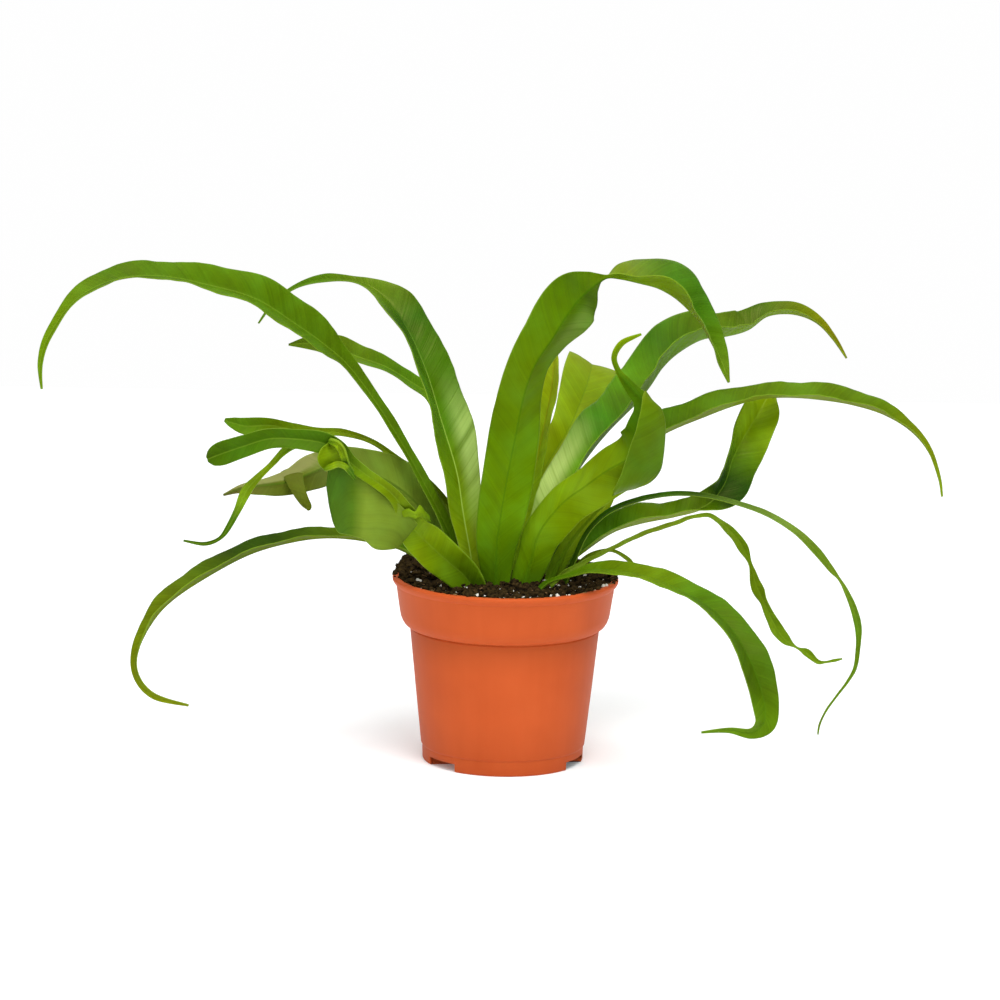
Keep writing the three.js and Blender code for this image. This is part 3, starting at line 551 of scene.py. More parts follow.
GLOSSY = {"rib": 0x7fa02c, "rib_share": 0.3, "margin": 0x84a22c, "gloss": 0.46, "shine": 0.12,
          "streaks": 0.22, "relief": 0.09}
MATT = {"rib": 0x2f5a06, "rib_share": 0.4, "margin": 0x8ca838, "gloss": 0.62, "shine": 0.06,
        "streaks": 0.18, "relief": 0.05}
PLAIN_UNDER = ((0, 0x627b09), (1, 0x6a7f11))


def colour(code):
    """Linear colour of a six-digit sRGB code."""
    parts = [((code >> shift) & 255) / 255 for shift in (16, 8, 0)]
    return [p / 12.92 if p <= 0.04045 else ((p + 0.055) / 1.055) ** 2.4 for p in parts] + [1]


def lined(tree, along, scale, detail):
    """Soft noise that only changes along one measure."""
    return put(tree, "ShaderNodeTexNoise", {"W": along, "Scale": scale, "Detail": detail},
               noise_dimensions="1D").outputs["Fac"]


def blade_skin(name, stops, rib, rib_share, margin, gloss, shine, streaks, relief, painted_sheen=None,
               rib_gone=1.4):
    """Living leaf: stops are (share of the length, colour code) from the base to the tip. A painted
    sheen
    is a painted highlight: a pale patch streaked along the side veins on one half of the blade. It is
    given as its side, the shares of the length that it starts, peaks and ends at, its strength and its
    colour. The rib's own colour fades out on the way to rib_gone."""
    finish, shader, tree = new_finish(name, {**LEAF_SOCKETS, "Specular IOR Level": shine})
    blade = put(tree, "ShaderNodeAttribute", attribute_name="blade").outputs["Vector"]
    along, across, share = put(tree, "ShaderNodeSeparateXYZ", {"Vector": blade}).outputs
    way = put(tree, "ShaderNodeAttribute", attribute_name="way").outputs["Fac"]
    out = maths(tree, "ABSOLUTE", across)

    # side veins: a noise that only changes up the blade, sheared outwards
    half = maths(tree, "GREATER_THAN", across, 0.0)
    lane = maths(tree, "MULTIPLY_ADD", half, HALVES_APART, along)
    vein_at = maths(tree, "MULTIPLY_ADD", out, -VEIN_SLANT, lane)
    veins = lined(tree, vein_at, VEIN_SCALE, 1)
    bands = lined(tree, vein_at, BAND_SCALE, 2)
    here = put(tree, "ShaderNodeTexCoord").outputs["Object"]
    clouds = speckle(tree, here, LEAF_CLOUD_SCALE, 3)

    shade = maths(tree, "MULTIPLY_ADD", veins, VEIN_WEIGHT, bands)
    shade = maths(tree, "MULTIPLY_ADD", clouds, CLOUD_WEIGHT, shade)
    tinted = put(tree, "ShaderNodeHueSaturation", {
        "Hue": ranged(tree, clouds, (0.3, 0.7), HUE_SPREAD),
        "Saturation": ranged(tree, clouds, (0.42, 0.7), (1.0, 0.98)),
        "Value": ranged(tree, shade, SHADE_SPREAD, (1 - streaks, 1 + streaks)),
        "Color": banded(tree, way, [(place, colour(code)) for place, code in stops])})
    skin = tinted.outputs["Color"]
    # a painted highlight: a pale patch, streaked along the side veins, mixed into the colour of one
    # half
    if painted_sheen:
        side, start, peak, end, strength, sheen_colour = painted_sheen
        limits = [(maths(tree, "MULTIPLY", across, side), (0, 1 * MM)), (share, SHEEN_SPREAD),
                  (way, (start, peak)), (way, (end, peak)), (bands, (-0.1, 0.6)),
                  (veins, (-0.2, 0.5))]
        for measure, spread in limits:
            strength = maths(tree, "MULTIPLY", strength, ranged(tree, measure, spread, smooth=True))
        skin = blend(tree, strength, skin, colour(sheen_colour))
    line = ranged(tree, out, [w * MM for w in RIB_LINE_MM], (rib_share, 0), smooth=True)
    line = maths(tree, "MULTIPLY", line, ranged(tree, share, RIB_SLIM, (1, 0)))
    reach = ranged(tree, way, (rib_gone - RIB_FADE, rib_gone), (1, 0))
    skin = blend(tree, maths(tree, "MULTIPLY", line, reach), skin, colour(rib))
    edge = ranged(tree, share, MARGIN_SPREAD, (0, MARGIN_STRENGTH), smooth=True)
    tree.links.new(blend(tree, edge, skin, colour(margin)), shader.inputs["Base Color"])
    rough = ranged(tree, bands, (0.3, 0.7), [gloss + more for more in GLOSS_SPREAD])
    tree.links.new(rough, shader.inputs["Roughness"])
    height = maths(tree, "MULTIPLY_ADD", bands, 1.5, veins)
    tree.links.new(embossed(tree, height, 1, relief * MM), shader.inputs["Normal"])
    return finish


def between(rows, place):
    """Smooth value between the rows, for every column at once (a Catmull-Rom spline)."""
    first = min(int(place), len(rows) - 2)
    t = place - first
    before, here, there = rows[max(first - 1, 0)], rows[first], rows[first + 1]
    after = rows[min(first + 2, len(rows) - 1)]
    values = []
    for p0, p1, p2, p3 in zip(before, here, there, after):
        slope1, slope2, rise = (p2 - p0) / 2, (p3 - p1) / 2, p2 - p1
        bend = 3 * rise - 2 * slope1 - slope2 + t * (slope1 + slope2 - 2 * rise)
        values.append(p1 + t * (slope1 + t * bend))
    return values


def on_sight_line(row):
    """The true place of a row, which lies on its line of sight at its own depth."""
    behind = 1 + row[2] / SIGHT_DISTANCE_MM
    return Vector((row[0] * behind, row[2], SIGHT_HEIGHT_MM + (row[1] - SIGHT_HEIGHT_MM) * behind))


def run(rows, place, step):
    """The way that the rows run at a place, from a step before it to a step after it."""
    ahead = on_sight_line(between(rows, min(place + step, len(rows) - 1)))
    return ahead - on_sight_line(between(rows, max(place - step, 0)))


def stations_of(rows, laid_across):
    """Points up the midrib, each with its directions, half-width and length so far, in mm."""
    stations, length, last = [], 0.0, None
    for i in range((len(rows) - 1) * STATIONS_PER_ROW + 1):
        place = i / STATIONS_PER_ROW
        row = between(rows, place)
        point = on_sight_line(row)
        along = run(rows, place, step=0.05).normalized()
        flat = along.cross(TOWARDS_SIGHT)
        if laid_across:
            flat = Vector(laid_across)
            flat -= along * flat.dot(along)
        flat.normalize()
        turn = math.radians(row[4])
        across = flat * math.cos(turn) + flat.cross(along) * math.sin(turn)
        length += (point - last).length if last else 0
        last = point
        stations.append((point, across, across.cross(along), max(row[3], LEAST_HALF_MM), length))
    return stations


def blade_layers(bm):
    """The layers that hold each point's place on the blade, share of its length and thickness."""
    vectors, floats = bm.verts.layers.float_vector, bm.verts.layers.float
    return (vectors.get("blade") or vectors.new("blade"), floats.get("way") or floats.new("way"),
            bm.verts.layers.deform.verify())


def crinkle_mm(length, side, seed):
    """Height of the fine crinkles at a length up the blade, apart on each side."""
    return CRINKLE_MM * noise.noise(Vector((length * CRINKLES_PER_MM, side, seed)))


def add_blade(bm, rows, fold, seed, ripple=0, pitch=34, laid_across=None):
    """Lays one folded, waved blade along its rows. Each row is a point on the midrib: right of the
    axis, height and depth as seen from the front, the half-width, and the turn in degrees."""
    stations = stations_of(rows, laid_across)
    blade_layer, way_layer, thick_layer = blade_layers(bm)
    sheet = bmesh.ops.create_grid(bm, x_segments=COLUMNS, y_segments=len(stations) - 1, size=1)
    fold = math.radians(fold)
    total = stations[-1][4]
    for v in sheet["verts"]:
        signed = math.copysign(abs(v.co.x) ** COLUMN_CROWDING, v.co.x)
        share = abs(signed)
        side = math.copysign(1, signed)
        swell = 4 * share * (1 - share)
        point, across, up, half, length = stations[round((v.co.y + 1) / 2 * (len(stations) - 1))]
        rounded = (math.hypot(share, CREASE) - CREASE) / (math.hypot(1, CREASE) - CREASE)
        wide = min(1, half / FULL_WAVES_FROM_MM)
        wave = ripple * math.sin(length / pitch * math.tau + side * WAVE_LEAD) * share ** 1.5
        crinkle = crinkle_mm(length, side * 9, seed) * share ** 3
        veins = (length - VEIN_SLANT * share * half) * PUCKERS_PER_MM
        pucker = PUCKER_MM * noise.noise(Vector((veins, side * 5, seed + 40))) * swell
        stalk = STALK_MM * math.exp(-length / STALK_FADE_MM)
        lift = half * math.sin(fold) * rounded + CUP * half * swell
        lift += wide * (wave + crinkle + pucker) + (SHEET_MM + stalk) / 2
        keel_height = KEEL_MM + KEEL_BASE_MM * math.exp(-length / KEEL_FADE_MM)
        keel = min(keel_height, half * KEEL_LIMIT)
        keel *= math.exp(-(signed * half / KEEL_HALF_WIDTH_MM) ** 2)
        v.co = (point + across * signed * half * math.cos(fold) + up * lift) * MM
        v[blade_layer] = Vector((length * MM, signed * half * MM, share))
        v[way_layer] = length / total
        v[thick_layer][0] = (SHEET_MM + stalk + keel) / THICKEST_MM


def add_flap(bm, seed, first, second, bulge, ways=(0, 1)):
    """Lays a flap of blade, with no midrib, between two margins. Each point on a margin is right of
    the axis, height and depth as seen from the front, and ways are the shares of the frond's
    length that its ends have the colours of."""
    blade_layer, way_layer, thick_layer = blade_layers(bm)
    last = len(first) - 1
    sheet = bmesh.ops.create_grid(bm, x_segments=FLAP_COLUMNS, size=1,
                                  y_segments=last * FLAP_STATIONS_PER_ROW)
    for v in sheet["verts"]:
        over, part = (v.co.x + 1) / 2, (v.co.y + 1) / 2
        here = [on_sight_line(between(edge, part * last)) for edge in (first, second)]
        ways_up = [run(edge, part * last, step=0.1) for edge in (first, second)]
        along = ways_up[0].lerp(ways_up[1], over)
        up = (here[1] - here[0]).cross(along).normalized()
        width = (here[1] - here[0]).length
        length = part * last * FLAP_ROW_MM
        rise = bulge * 4 * over * (1 - over) + crinkle_mm(length, over * 3, seed + 20)
        v.co = (here[0].lerp(here[1], over) + up * rise) * MM
        v[blade_layer] = Vector((length * MM, (over + 1) * width * MM, abs(2 * over - 1)))
        v[way_layer] = ways[0] + (ways[1] - ways[0]) * part
        v[thick_layer][0] = SHEET_MM / THICKEST_MM


def grow_frond(node, rows, upper, under=PLAIN_UNDER, slot="frond_green", glossy=None, matt=None,
               lobes=(), flaps=(), **shape):
    """One frond, with its thickness. Upper and under are the stops of its skins, and glossy and matt
    are what else those skins change. A lobe that forks off it has rows and a fold of its own, and
    a flap is two margins, how far it bulges, and the shares that give its colours."""
    seed = int(node[6:8])
    bm = bmesh.new()
    add_blade(bm, rows, seed=seed, **shape)
    for lobe_rows, lobe_fold in lobes:
        add_blade(bm, lobe_rows, lobe_fold, seed + 0.5)
    for flap in flaps:
        add_flap(bm, seed, *flap)
    skins = [blade_skin(node + "_upper", upper, **{**GLOSSY, **(glossy or {})}),
             blade_skin(node + "_under", under, **{**MATT, **(matt or {})})]
    piece = new_piece(node + "_blade", bm, *skins)
    piece.vertex_groups.new(name="thickness")
    shell = piece.modifiers.new("thickness", "SOLIDIFY")
    shell.thickness = THICKEST_MM * MM
    shell.offset = -1
    shell.vertex_group = "thickness"
    shell.material_offset = 1
    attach(piece, "root")
    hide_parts(node)


# ---- Frond 1, left arch ----------------------------------
# The longest frond on the left: a slim stalk-like lower half, then a broad blade that arches over
# and hangs down to a thread at its tip. Its glossy upper face shows.

grow_frond("frond_01_left_arch", fold=26, ripple=0.7, pitch=34, rows=[
    (-17, 90, 5, 3.5, -20), (-33, 127, 3, 3.6, -30), (-53.5, 165, -4, 3.5, -38),
    (-70, 191, -13, 3.9, -40), (-84.5, 210, -20, 4.8, -40), (-97, 221, -26, 10, -44),
    (-112, 231.5, -33, 13, -46), (-134, 245, -44, 13, -46), (-160, 252, -57, 11.2, -50),
    (-184, 256, -69, 8.7, -54), (-207, 253.8, -80, 8.4, -54), (-227.4, 243, -90, 5.3, -50),
    (-241.5, 224, -96, 2.6, -32), (-246.5, 209, -99, 1.4, -10), (-246, 195, -100, 0.5, -10),
], upper=[
    (0, 0x557b04), (0.45, 0x466902), (0.66, 0x4d7302), (0.8, 0x446703), (0.9, 0x5d7f03),
    (1, 0x5f8206),
], under=[
    (0, 0x627b09), (1, 0x6d8110),
])


# ---- Frond 2, left upright -------------------------------
# A tall upright frond left of the middle, folded along its midrib, with its glossy face to the
# front. It bends over to the left near the top and thins to a short hanging tip. A painted highlight
# is streaked over the right half of its lower part.

grow_frond("frond_02_left_upright", fold=26, ripple=0.7, pitch=40, rows=[
    (-16, 92, -5, 5, -10), (-19, 111, -4, 6, -12), (-23, 132, -1, 8.8, -16),
    (-27, 155, 3, 12.8, -33), (-35.5, 182, 8, 17.4, -50), (-43, 206, 14, 15.6, -52),
    (-51.6, 226, 20, 14.3, -51), (-61, 241, 25, 13.2, -47), (-70.5, 250.5, 29, 6.5, -39),
    (-82, 255.5, 32, 2.6, -38), (-97, 256, 35, 2.8, -34), (-112, 252, 38, 1.4, -22),
    (-124, 243, 40, 0.9, -22), (-132, 232, 41, 0.35, -10),
], upper=[
    (0, 0x799001), (0.12, 0x769201), (0.22, 0x688b01), (0.25, 0x618501), (0.35, 0x497201),
    (0.4, 0x456f01), (0.48, 0x3c6801), (0.55, 0x335f01), (0.6, 0x295601), (0.64, 0x3c5e01),
    (0.7, 0x4e6c01), (0.78, 0x4a6d01), (0.82, 0x466e02), (1, 0x4e7206),
], glossy={"gloss": 0.32, "shine": 0.22, "rib": 0xa2c24e, "rib_share": 0.9, "rib_gone": 0.62,
           "painted_sheen": (1, 0.08, 0.3, 0.5, 0.75, 0xa9c46a)})


# ---- Frond 3, back left ----------------------------------
# A slimmer frond behind the last one, leaning back to the left. Its blade shows between the two
# big ones on the left.

grow_frond("frond_03_back_left", fold=24, ripple=0.5, pitch=30, rows=[
    (-9, 95, 23, 3, -20), (-15, 124, 29, 4, -20), (-22, 147, 36, 5, -20), (-31, 174, 47, 5.5, -20),
    (-40, 193.6, 58, 4.8, -26), (-52, 202.4, 68, 4.8, -38), (-65, 210, 79, 5.6, -42),
    (-78, 214.5, 91, 7, -40), (-90, 219, 102, 7.5, -30), (-102, 222, 111, 5, -14),
    (-116, 221, 118, 0.5, -10),
], upper=[
    (0, 0x547502), (0.5, 0x507b01), (0.64, 0x437001), (0.7, 0x4b7001), (0.75, 0x506e01),
    (0.9, 0x4a6101), (1, 0x445f01),
])


# ---- Frond 4, crested ------------------------------------
# A broad frond at the front left that widens, rolls and forks at a crested tip. A thin hanging
# strap and a blunt lobe grow from the crest, and one side of the blade hangs from its rolled
# midrib like a curtain.

LOBE_ROWS = [
    (-109, 169, -66, 1.6, -10), (-117, 165, -65, 1.8, 0), (-125, 156.5, -66, 1.4, 0),
    (-132.5, 149, -66, 2, 0), (-138, 142, -65, 2.8, 0), (-142, 133, -65, 2, 0),
    (-147, 123, -64, 1.5, 0), (-152, 116.5, -63, 1, 0), (-160, 113.5, -62, 1, 0),
    (-171, 115, -61, 0.5, 0),
]
RIM_ROWS = [
    (-96.5, 154.5, -73, 0.6, 20), (-93.5, 156, -74.5, 1.3, 20), (-89.5, 157.5, -75, 1.5, 20),
    (-86, 156.5, -74, 1.5, 20), (-83.5, 154, -71, 1.4, 20), (-80.5, 150, -66, 0.8, 20),
]
RIDGE_ROWS = [
    (-94, 170, -70, 0.8, -20), (-90, 168.5, -73, 1.6, -20), (-87.5, 165.5, -74, 1.9, -20),
    (-86, 161.5, -74, 1.9, -20), (-84.5, 157.5, -71, 1.6, -20), (-82, 154, -67, 1, -20),
]
CUP_LEFT = [
    (-95, 154, -72), (-98, 155.5, -73), (-100, 159, -74), (-100, 162, -74), (-98, 166, -73),
    (-94.5, 169, -70),
]
CUP_RIGHT = [
    (-92.5, 156, -72), (-89, 157, -73), (-87, 159.5, -73), (-87, 162.5, -72), (-89, 166, -71),
    (-93, 169, -70),
]
CURTAIN_TOP = [
    (-47, 126, -50), (-52.5, 132.5, -50), (-57.5, 137, -51), (-65.5, 142, -54), (-73, 147.5, -57),
    (-79.5, 152, -59), (-85, 155.5, -61), (-89.5, 157, -62.5), (-93, 157, -61), (-94, 156.5, -58),
]
CURTAIN_HEM = [
    (-57, 113.5, -49), (-60.5, 112.5, -49), (-66, 112, -50), (-70.5, 113, -51.5),
    (-75.5, 117.5, -53), (-80.5, 119, -54.5), (-85, 120, -56), (-89, 121, -57.5),
    (-91.5, 126.5, -58), (-93, 133, -56),
]
RUFFLE_TOP = [
    (-55.5, 133, -51), (-52, 134.5, -52), (-48.5, 133, -52), (-46, 136.5, -51), (-43.5, 133.5, -50),
    (-40.5, 130.5, -48),
]
RUFFLE_FOOT = [
    (-54.5, 129, -50), (-51, 129.5, -50), (-48, 129, -50), (-46, 130, -49), (-43, 128.5, -47.5),
    (-40, 127, -45),
]
grow_frond("frond_04_crested", fold=26, ripple=0.6, pitch=26, rows=[
    (-14, 88, -20, 5, -5), (-18, 94, -21, 8, 8), (-23, 100, -24, 9.6, 8),
    (-31.5, 107, -29, 10.6, 4), (-41, 115.5, -36, 11, 2), (-48.5, 123, -42, 9.8, 0),
    (-54, 132.5, -48, 5.6, -4), (-59, 140, -52, 4, -6), (-65.5, 146, -56, 3.6, -4),
    (-75, 152.5, -60.5, 3.6, 0), (-83.5, 159, -64, 4.2, 0), (-90, 165, -66, 5.8, 0),
    (-99, 169.2, -68, 6.2, 0), (-113, 170.8, -69, 5.4, 0), (-126, 170.6, -71, 5.6, 0),
    (-139, 166.5, -70, 6.2, 0), (-150, 162.5, -68, 6.6, 0), (-155.5, 160.3, -67.5, 5, 0),
    (-158.5, 159, -67, 1.5, 0),
], upper=[
    (0, 0x466e01), (0.25, 0x729103), (0.36, 0x5d7703), (0.5, 0x6a8803), (0.62, 0x3f6302),
    (0.72, 0x3c6502), (1, 0x3b6101),
], under=[
    # past 0.6 of the length the under colour darkens to bluish green, which on the curtain is painted
    # shade over its hollow left part
    (0, 0x4a5d12), (0.2, 0x637b20), (0.46, 0x708a28), (0.6, 0x4a6c14), (0.72, 0x446818),
    (1, 0x41660f),
], matt={"rib_share": 0}, lobes=[(LOBE_ROWS, 20), (RIM_ROWS, 10), (RIDGE_ROWS, 35)], flaps=[
    (CURTAIN_TOP, CURTAIN_HEM, -1.5), (CUP_LEFT, CUP_RIGHT, -2, (0.58, 0.46)),
    (RUFFLE_TOP, RUFFLE_FOOT, 1, (0.38, 0.6)),
])


# ---- Frond 5, low left -----------------------------------
# A narrow frond that leaves the pot low on the left, arches out and down over the rim, and curls
# in under itself at the tip.

grow_frond("frond_05_low_left", fold=30, ripple=0.4, pitch=30, rows=[
    (-28, 90, -4, 3, -50), (-40, 104, -9, 3.5, -56), (-56, 113, -17, 4.2, -62),
    (-74, 117, -27, 5.2, -66), (-93, 118.4, -38, 6.4, -68), (-112, 116, -48, 7.8, -70),
    (-135, 109, -60, 8.6, -70), (-157.5, 96.6, -70, 9.6, -70), (-177.5, 82.5, -78, 8.5, -68),
    (-188.8, 69, -82, 5.8, -64), (-195.9, 53, -84, 2.8, -45), (-195, 40, -83, 2.1, -26),
    (-186, 30.2, -81, 1.8, -19), (-168, 25.3, -78, 0.5, -10),
], upper=[
    (0, 0x416201), (0.33, 0x496601), (0.44, 0x264401), (0.53, 0x284702), (0.65, 0x4c6402),
    (1, 0x738003),
], under=[
    (0, 0x556a03), (0.33, 0x566a03), (0.55, 0x4b6203), (0.75, 0x637906), (1, 0x6d830c),
])


# ---- Frond 6, olive --------------------------------------
# A twisted frond behind the crested one that shows its matt olive underside, with a thin dark
# midrib. A short finger forks off its margin, and towards its tip it turns khaki, with a pale
# painted sheen on one half.

FINGER_LEFT = [
    (-119.5, 152.5, -24), (-118, 150, -34), (-115, 144.5, -41.5), (-111.2, 138.5, -45),
    (-107.5, 134.6, -45.5), (-104.6, 132.9, -45.5),
]
FINGER_RIGHT = [
    (-107.5, 156.5, -24), (-108, 150.5, -35), (-107.4, 146, -42), (-105.4, 140, -45.5),
    (-103.3, 135, -46), (-104.3, 132.8, -46),
]
grow_frond("frond_06_olive", fold=18, ripple=0.5, pitch=28, slot="frond_olive", rows=[
    (-18, 96, 11, 3.5, 172), (-27, 111, 11, 7.5, 172), (-38, 125, 9.5, 11.5, 175),
    (-50, 139.5, 4, 14, 180), (-62, 148.5, -5, 14.5, 180), (-76, 154.5, -15, 12, 175),
    (-90, 158, -24, 10, 165), (-103, 153, -31, 9.6, 184), (-116, 147.5, -36, 6.8, 172),
    (-131, 145, -40, 4.8, 150), (-141, 143.5, -42, 2.3, 170), (-150, 140, -42, 0.5, 180),
], upper=[
    (0, 0x487202), (1, 0x577808),
], under=[
    (0, 0x425d0b), (0.38, 0x77932c), (0.45, 0x6e8827), (0.55, 0x5f7323), (0.68, 0x66752f),
    (0.77, 0x596814), (0.87, 0x57611c), (1, 0x6a652e),
], matt={"painted_sheen": (-1, 0.6, 0.8, 1.1, 2.5, 0x83864c)}, flaps=[
    (FINGER_LEFT, FINGER_RIGHT, -0.8, (0.87, 0.78)),
])


# ---- Frond 7, long stalked -------------------------------
# A small blade on a long thin stalk that arches far to the left behind the crested frond. It is
# lightly folded, and a little yellow towards the base.

grow_frond("frond_07_long_stalked", fold=22, ripple=0.3, pitch=24, slot="frond_olive", rows=[
    (-14, 95, 18.5, 2.4, -30), (-22, 121, 21, 2.5, -30), (-33, 138, 19.5, 2.6, -26),
    (-45, 150.5, 16, 2.7, -26), (-58, 160.5, 10, 2, -26), (-72, 170, 3, 1.6, -26),
    (-87, 174.3, -5, 2.2, -26), (-101, 174.5, -12, 2.6, -24), (-113, 175.6, -18, 3.5, -14),
    (-126, 177.8, -24, 4, 0), (-138, 177.2, -29, 4.7, 0), (-145, 178.8, -31, 3.2, 0),
    (-149.5, 180.3, -32, 1, 0),
], upper=[
    (0, 0x667b09), (0.6, 0x6a8106), (0.77, 0x668402), (0.9, 0x517602), (1, 0x4b7402),
])


# ---- Frond 8, centre -------------------------------------
# The tallest frond, in the middle. It rises with its matt underside to the front, twists over at
# the top and hangs down on the right with its glossy face showing. Part way up, one half of its
# underside has a faint painted highlight.

grow_frond("frond_08_centre", fold=27, ripple=0.8, pitch=44, rows=[
    (-5, 87, -19, 6, 180), (-5, 99, -21, 8.5, 180), (-5, 115, -25, 12.2, 180),
    (-3, 132, -30, 14.4, 182), (0, 152, -35, 15, 182), (4, 175, -39, 14.6, 172),
    (8, 197, -41, 13.6, 158), (13.5, 213, -40, 13.4, 147), (22.6, 227.5, -37, 16, 148),
    (29.5, 239, -34, 17.2, 162), (35.8, 247.5, -31, 16.6, 166), (41.3, 253, -27, 13, 161),
    (45.7, 256.7, -24, 6.7, 150), (50.7, 259.6, -20, 1.6, 115), (58, 259.1, -16, 10, 77),
    (67.7, 257.1, -12, 18.6, 76), (77.4, 254.6, -8, 21.2, 73), (86.2, 249.8, -4, 21.4, 67),
    (93.7, 243.3, -1, 17.7, 65), (99.6, 236.8, 2, 13.5, 61), (104.3, 229.5, 4, 10.3, 56),
    (108.4, 222.1, 5, 6.5, 48), (112.3, 213.7, 6, 3.2, 30), (115.6, 205, 7, 0.6, 15),
], upper=[
    (0, 0x4a7301), (0.66, 0x5c7a01), (0.71, 0x627b01), (0.78, 0x3b6802), (0.85, 0x346a03),
    (1, 0x597404),
], under=[
    (0, 0x476f01), (0.16, 0x5d8701), (0.2, 0x5c8401), (0.3, 0x547901), (0.42, 0x516f02),
    (0.5, 0x4d6e01), (0.58, 0x446901), (0.61, 0x3a5901), (0.66, 0x517203), (0.72, 0x658705),
    (1, 0x72840d),
], glossy={"gloss": 0.32, "shine": 0.22}, matt={"painted_sheen": (-1, 0.44, 0.56, 0.63, 0.2, 0xa9c46a)})


# ---- Frond 9, back centre --------------------------------
# A frond that leans straight back behind the middle, nearly flat across. Its broad top turns over
# and hangs down behind the plant.

grow_frond("frond_09_back_centre", fold=7, ripple=0.6, pitch=40, laid_across=(0.92, 0, -0.4), rows=[
    (2, 93, 14, 4.5, 0), (5, 116, 21, 7.5, 0), (11, 137.5, 31, 9.3, 0), (20, 158, 43, 9.8, 0),
    (31, 177, 56, 10.2, 0), (37.5, 192.5, 69, 13.2, 0), (41.5, 204.5, 82, 15.4, 0),
    (43.2, 212.6, 94, 14.5, 0), (43.7, 211.5, 104, 13.5, 0), (44.5, 202, 112, 11, 0),
    (45.5, 187, 118, 7, 0), (46, 172, 120, 0.6, 0),
], upper=[
    (0, 0x7e9902), (0.45, 0x809a03), (0.5, 0x799403), (0.6, 0x6a8804), (1, 0x828413),
], glossy={"rib": 0x3f6a0c})


# ---- Frond 10, pale --------------------------------------
# A young yellowish frond with a brown midrib. It stands upright close behind the tall one and is
# folded along its midrib.

grow_frond("frond_10_pale", fold=20, ripple=0.3, pitch=30, slot="frond_pale", rows=[
    (1, 92.5, 8, 3.5, 0), (5, 116, 13, 4.5, 10), (11.5, 140, 21.5, 6.3, 25),
    (16.5, 166, 26.5, 7.2, 44), (20, 185, 28, 7.2, 48), (22.5, 199, 30, 7.6, 48),
    (23.5, 211, 32, 6.2, 46), (24, 222, 33, 0.6, 30),
], upper=[
    (0, 0x698f02), (0.6, 0x789902), (1, 0x8d9c08),
], under=[
    (0, 0x75830c), (1, 0x7f8813),
], glossy={"rib": 0x8a5a1c})


# ---- Frond 11, right upper -------------------------------
# A long broad frond to the upper right. It is folded like a gutter and glossy, with a painted
# highlight streaked over the left half of its lower part, and it thins to a drooping tip.

grow_frond("frond_11_right_upper", fold=38, ripple=0.7, pitch=40, rows=[
    (9, 92, -2, 3.6, 25), (13, 108, 1, 6, 28), (20, 124, 6, 9.6, 36), (28.3, 141, 13, 13, 48),
    (36.9, 156.5, 21, 15.2, 56), (45, 168.5, 29, 16.2, 56), (53, 178.5, 37, 17.6, 57),
    (60, 186, 45, 17.6, 61), (67.5, 194, 54, 19, 64), (74, 202.6, 62, 19.4, 64),
    (80.6, 212.9, 70.5, 19.6, 64), (89, 221, 79, 20.5, 64), (101, 228, 90, 19, 64),
    (114, 230, 99, 15, 64), (125, 233.5, 105, 12.5, 61), (135, 240.9, 109, 8.8, 61),
    (148.4, 242.2, 113, 7, 58), (160.6, 238, 116, 3.8, 54), (170, 229, 117, 2, 40),
    (177, 219, 117, 0.5, 40),
], upper=[
    (0, 0x698b02), (0.26, 0x5b8c01), (0.34, 0x3a7a01), (0.42, 0x487b01), (0.5, 0x4e7f01),
    (0.58, 0x2d5e01), (0.7, 0x4c6901), (0.8, 0x385902), (0.88, 0x627304), (0.93, 0x737806),
    (1, 0x717408),
], under=[
    (0, 0x577a04), (0.6, 0x5d8604), (1, 0x6d7f10),
], glossy={"gloss": 0.34, "shine": 0.14, "painted_sheen": (-1, 0.06, 0.22, 0.38, 1, 0xb4cc70)})


# ---- Frond 12, right mid ---------------------------------
# A wide frond right of the middle that shows its pale matt underside, then curls tightly upwards
# to a thin hooked tip. Its right side is folded over, with the glossy face out.

FOLD_LINE = [
    (56, 146, -58), (59, 152, -61), (61.5, 159.5, -63), (63.5, 166, -65), (65.5, 172.5, -66),
    (67.5, 179, -66.5), (69, 185.5, -66), (70, 192, -64.5), (70.5, 196.5, -62.5), (71, 199.5, -60),
]
FOLDED_EDGE = [
    (55.5, 143.5, -52), (66.5, 147, -53), (76, 151, -54), (81, 157.5, -55), (82.5, 166.5, -56),
    (83, 175, -56), (83, 182, -56), (81, 190, -56), (76, 194.5, -57), (71.5, 199.5, -58),
]
grow_frond("frond_12_right_mid", fold=30, ripple=0.6, pitch=38, rows=[
    (10, 87, -16, 6, 180), (10.5, 97, -18, 8.4, 184), (14, 109, -21, 10, 190),
    (18, 123, -26, 12.5, 198), (29, 138, -34, 13, 199), (42, 148.4, -43, 14, 198),
    (53.5, 157.2, -51, 14.6, 195), (64.5, 164, -57, 16.6, 193), (70, 173, -60, 13, 189),
    (72, 182, -60, 10.6, 188), (72, 189.5, -59, 7.8, 185), (69.6, 195.5, -57, 5, 176),
    (65.5, 200.3, -55, 3.8, 168), (61, 205.3, -53, 2.6, 176), (57.3, 210.3, -51, 1.5, 178),
    (55, 217.5, -50, 1.5, 180), (59, 225, -48, 1.6, 180), (69, 229.8, -46, 0.5, 180),
], upper=[
    (0, 0x3f6801), (0.3, 0x516e01), (0.45, 0x416501), (0.6, 0x496a00), (0.8, 0x5c7602),
    (1, 0x5f8202),
], under=[
    (0, 0x4d7b01), (0.2, 0x6e9302), (0.42, 0x6e8a04), (0.55, 0x5f7e03), (0.66, 0x3e6801),
    (0.82, 0x3d6201), (0.92, 0x6e8b02), (1, 0x7f9d03),
], glossy={"gloss": 0.36, "shine": 0.16}, flaps=[
    (FOLD_LINE, FOLDED_EDGE, 1.2, (0.3, 0.8)),
])


# ---- Frond 13, right arch --------------------------------
# The frond that reaches furthest to the right: a wide low arch, folded along its midrib, that
# thins to a long hanging tip.

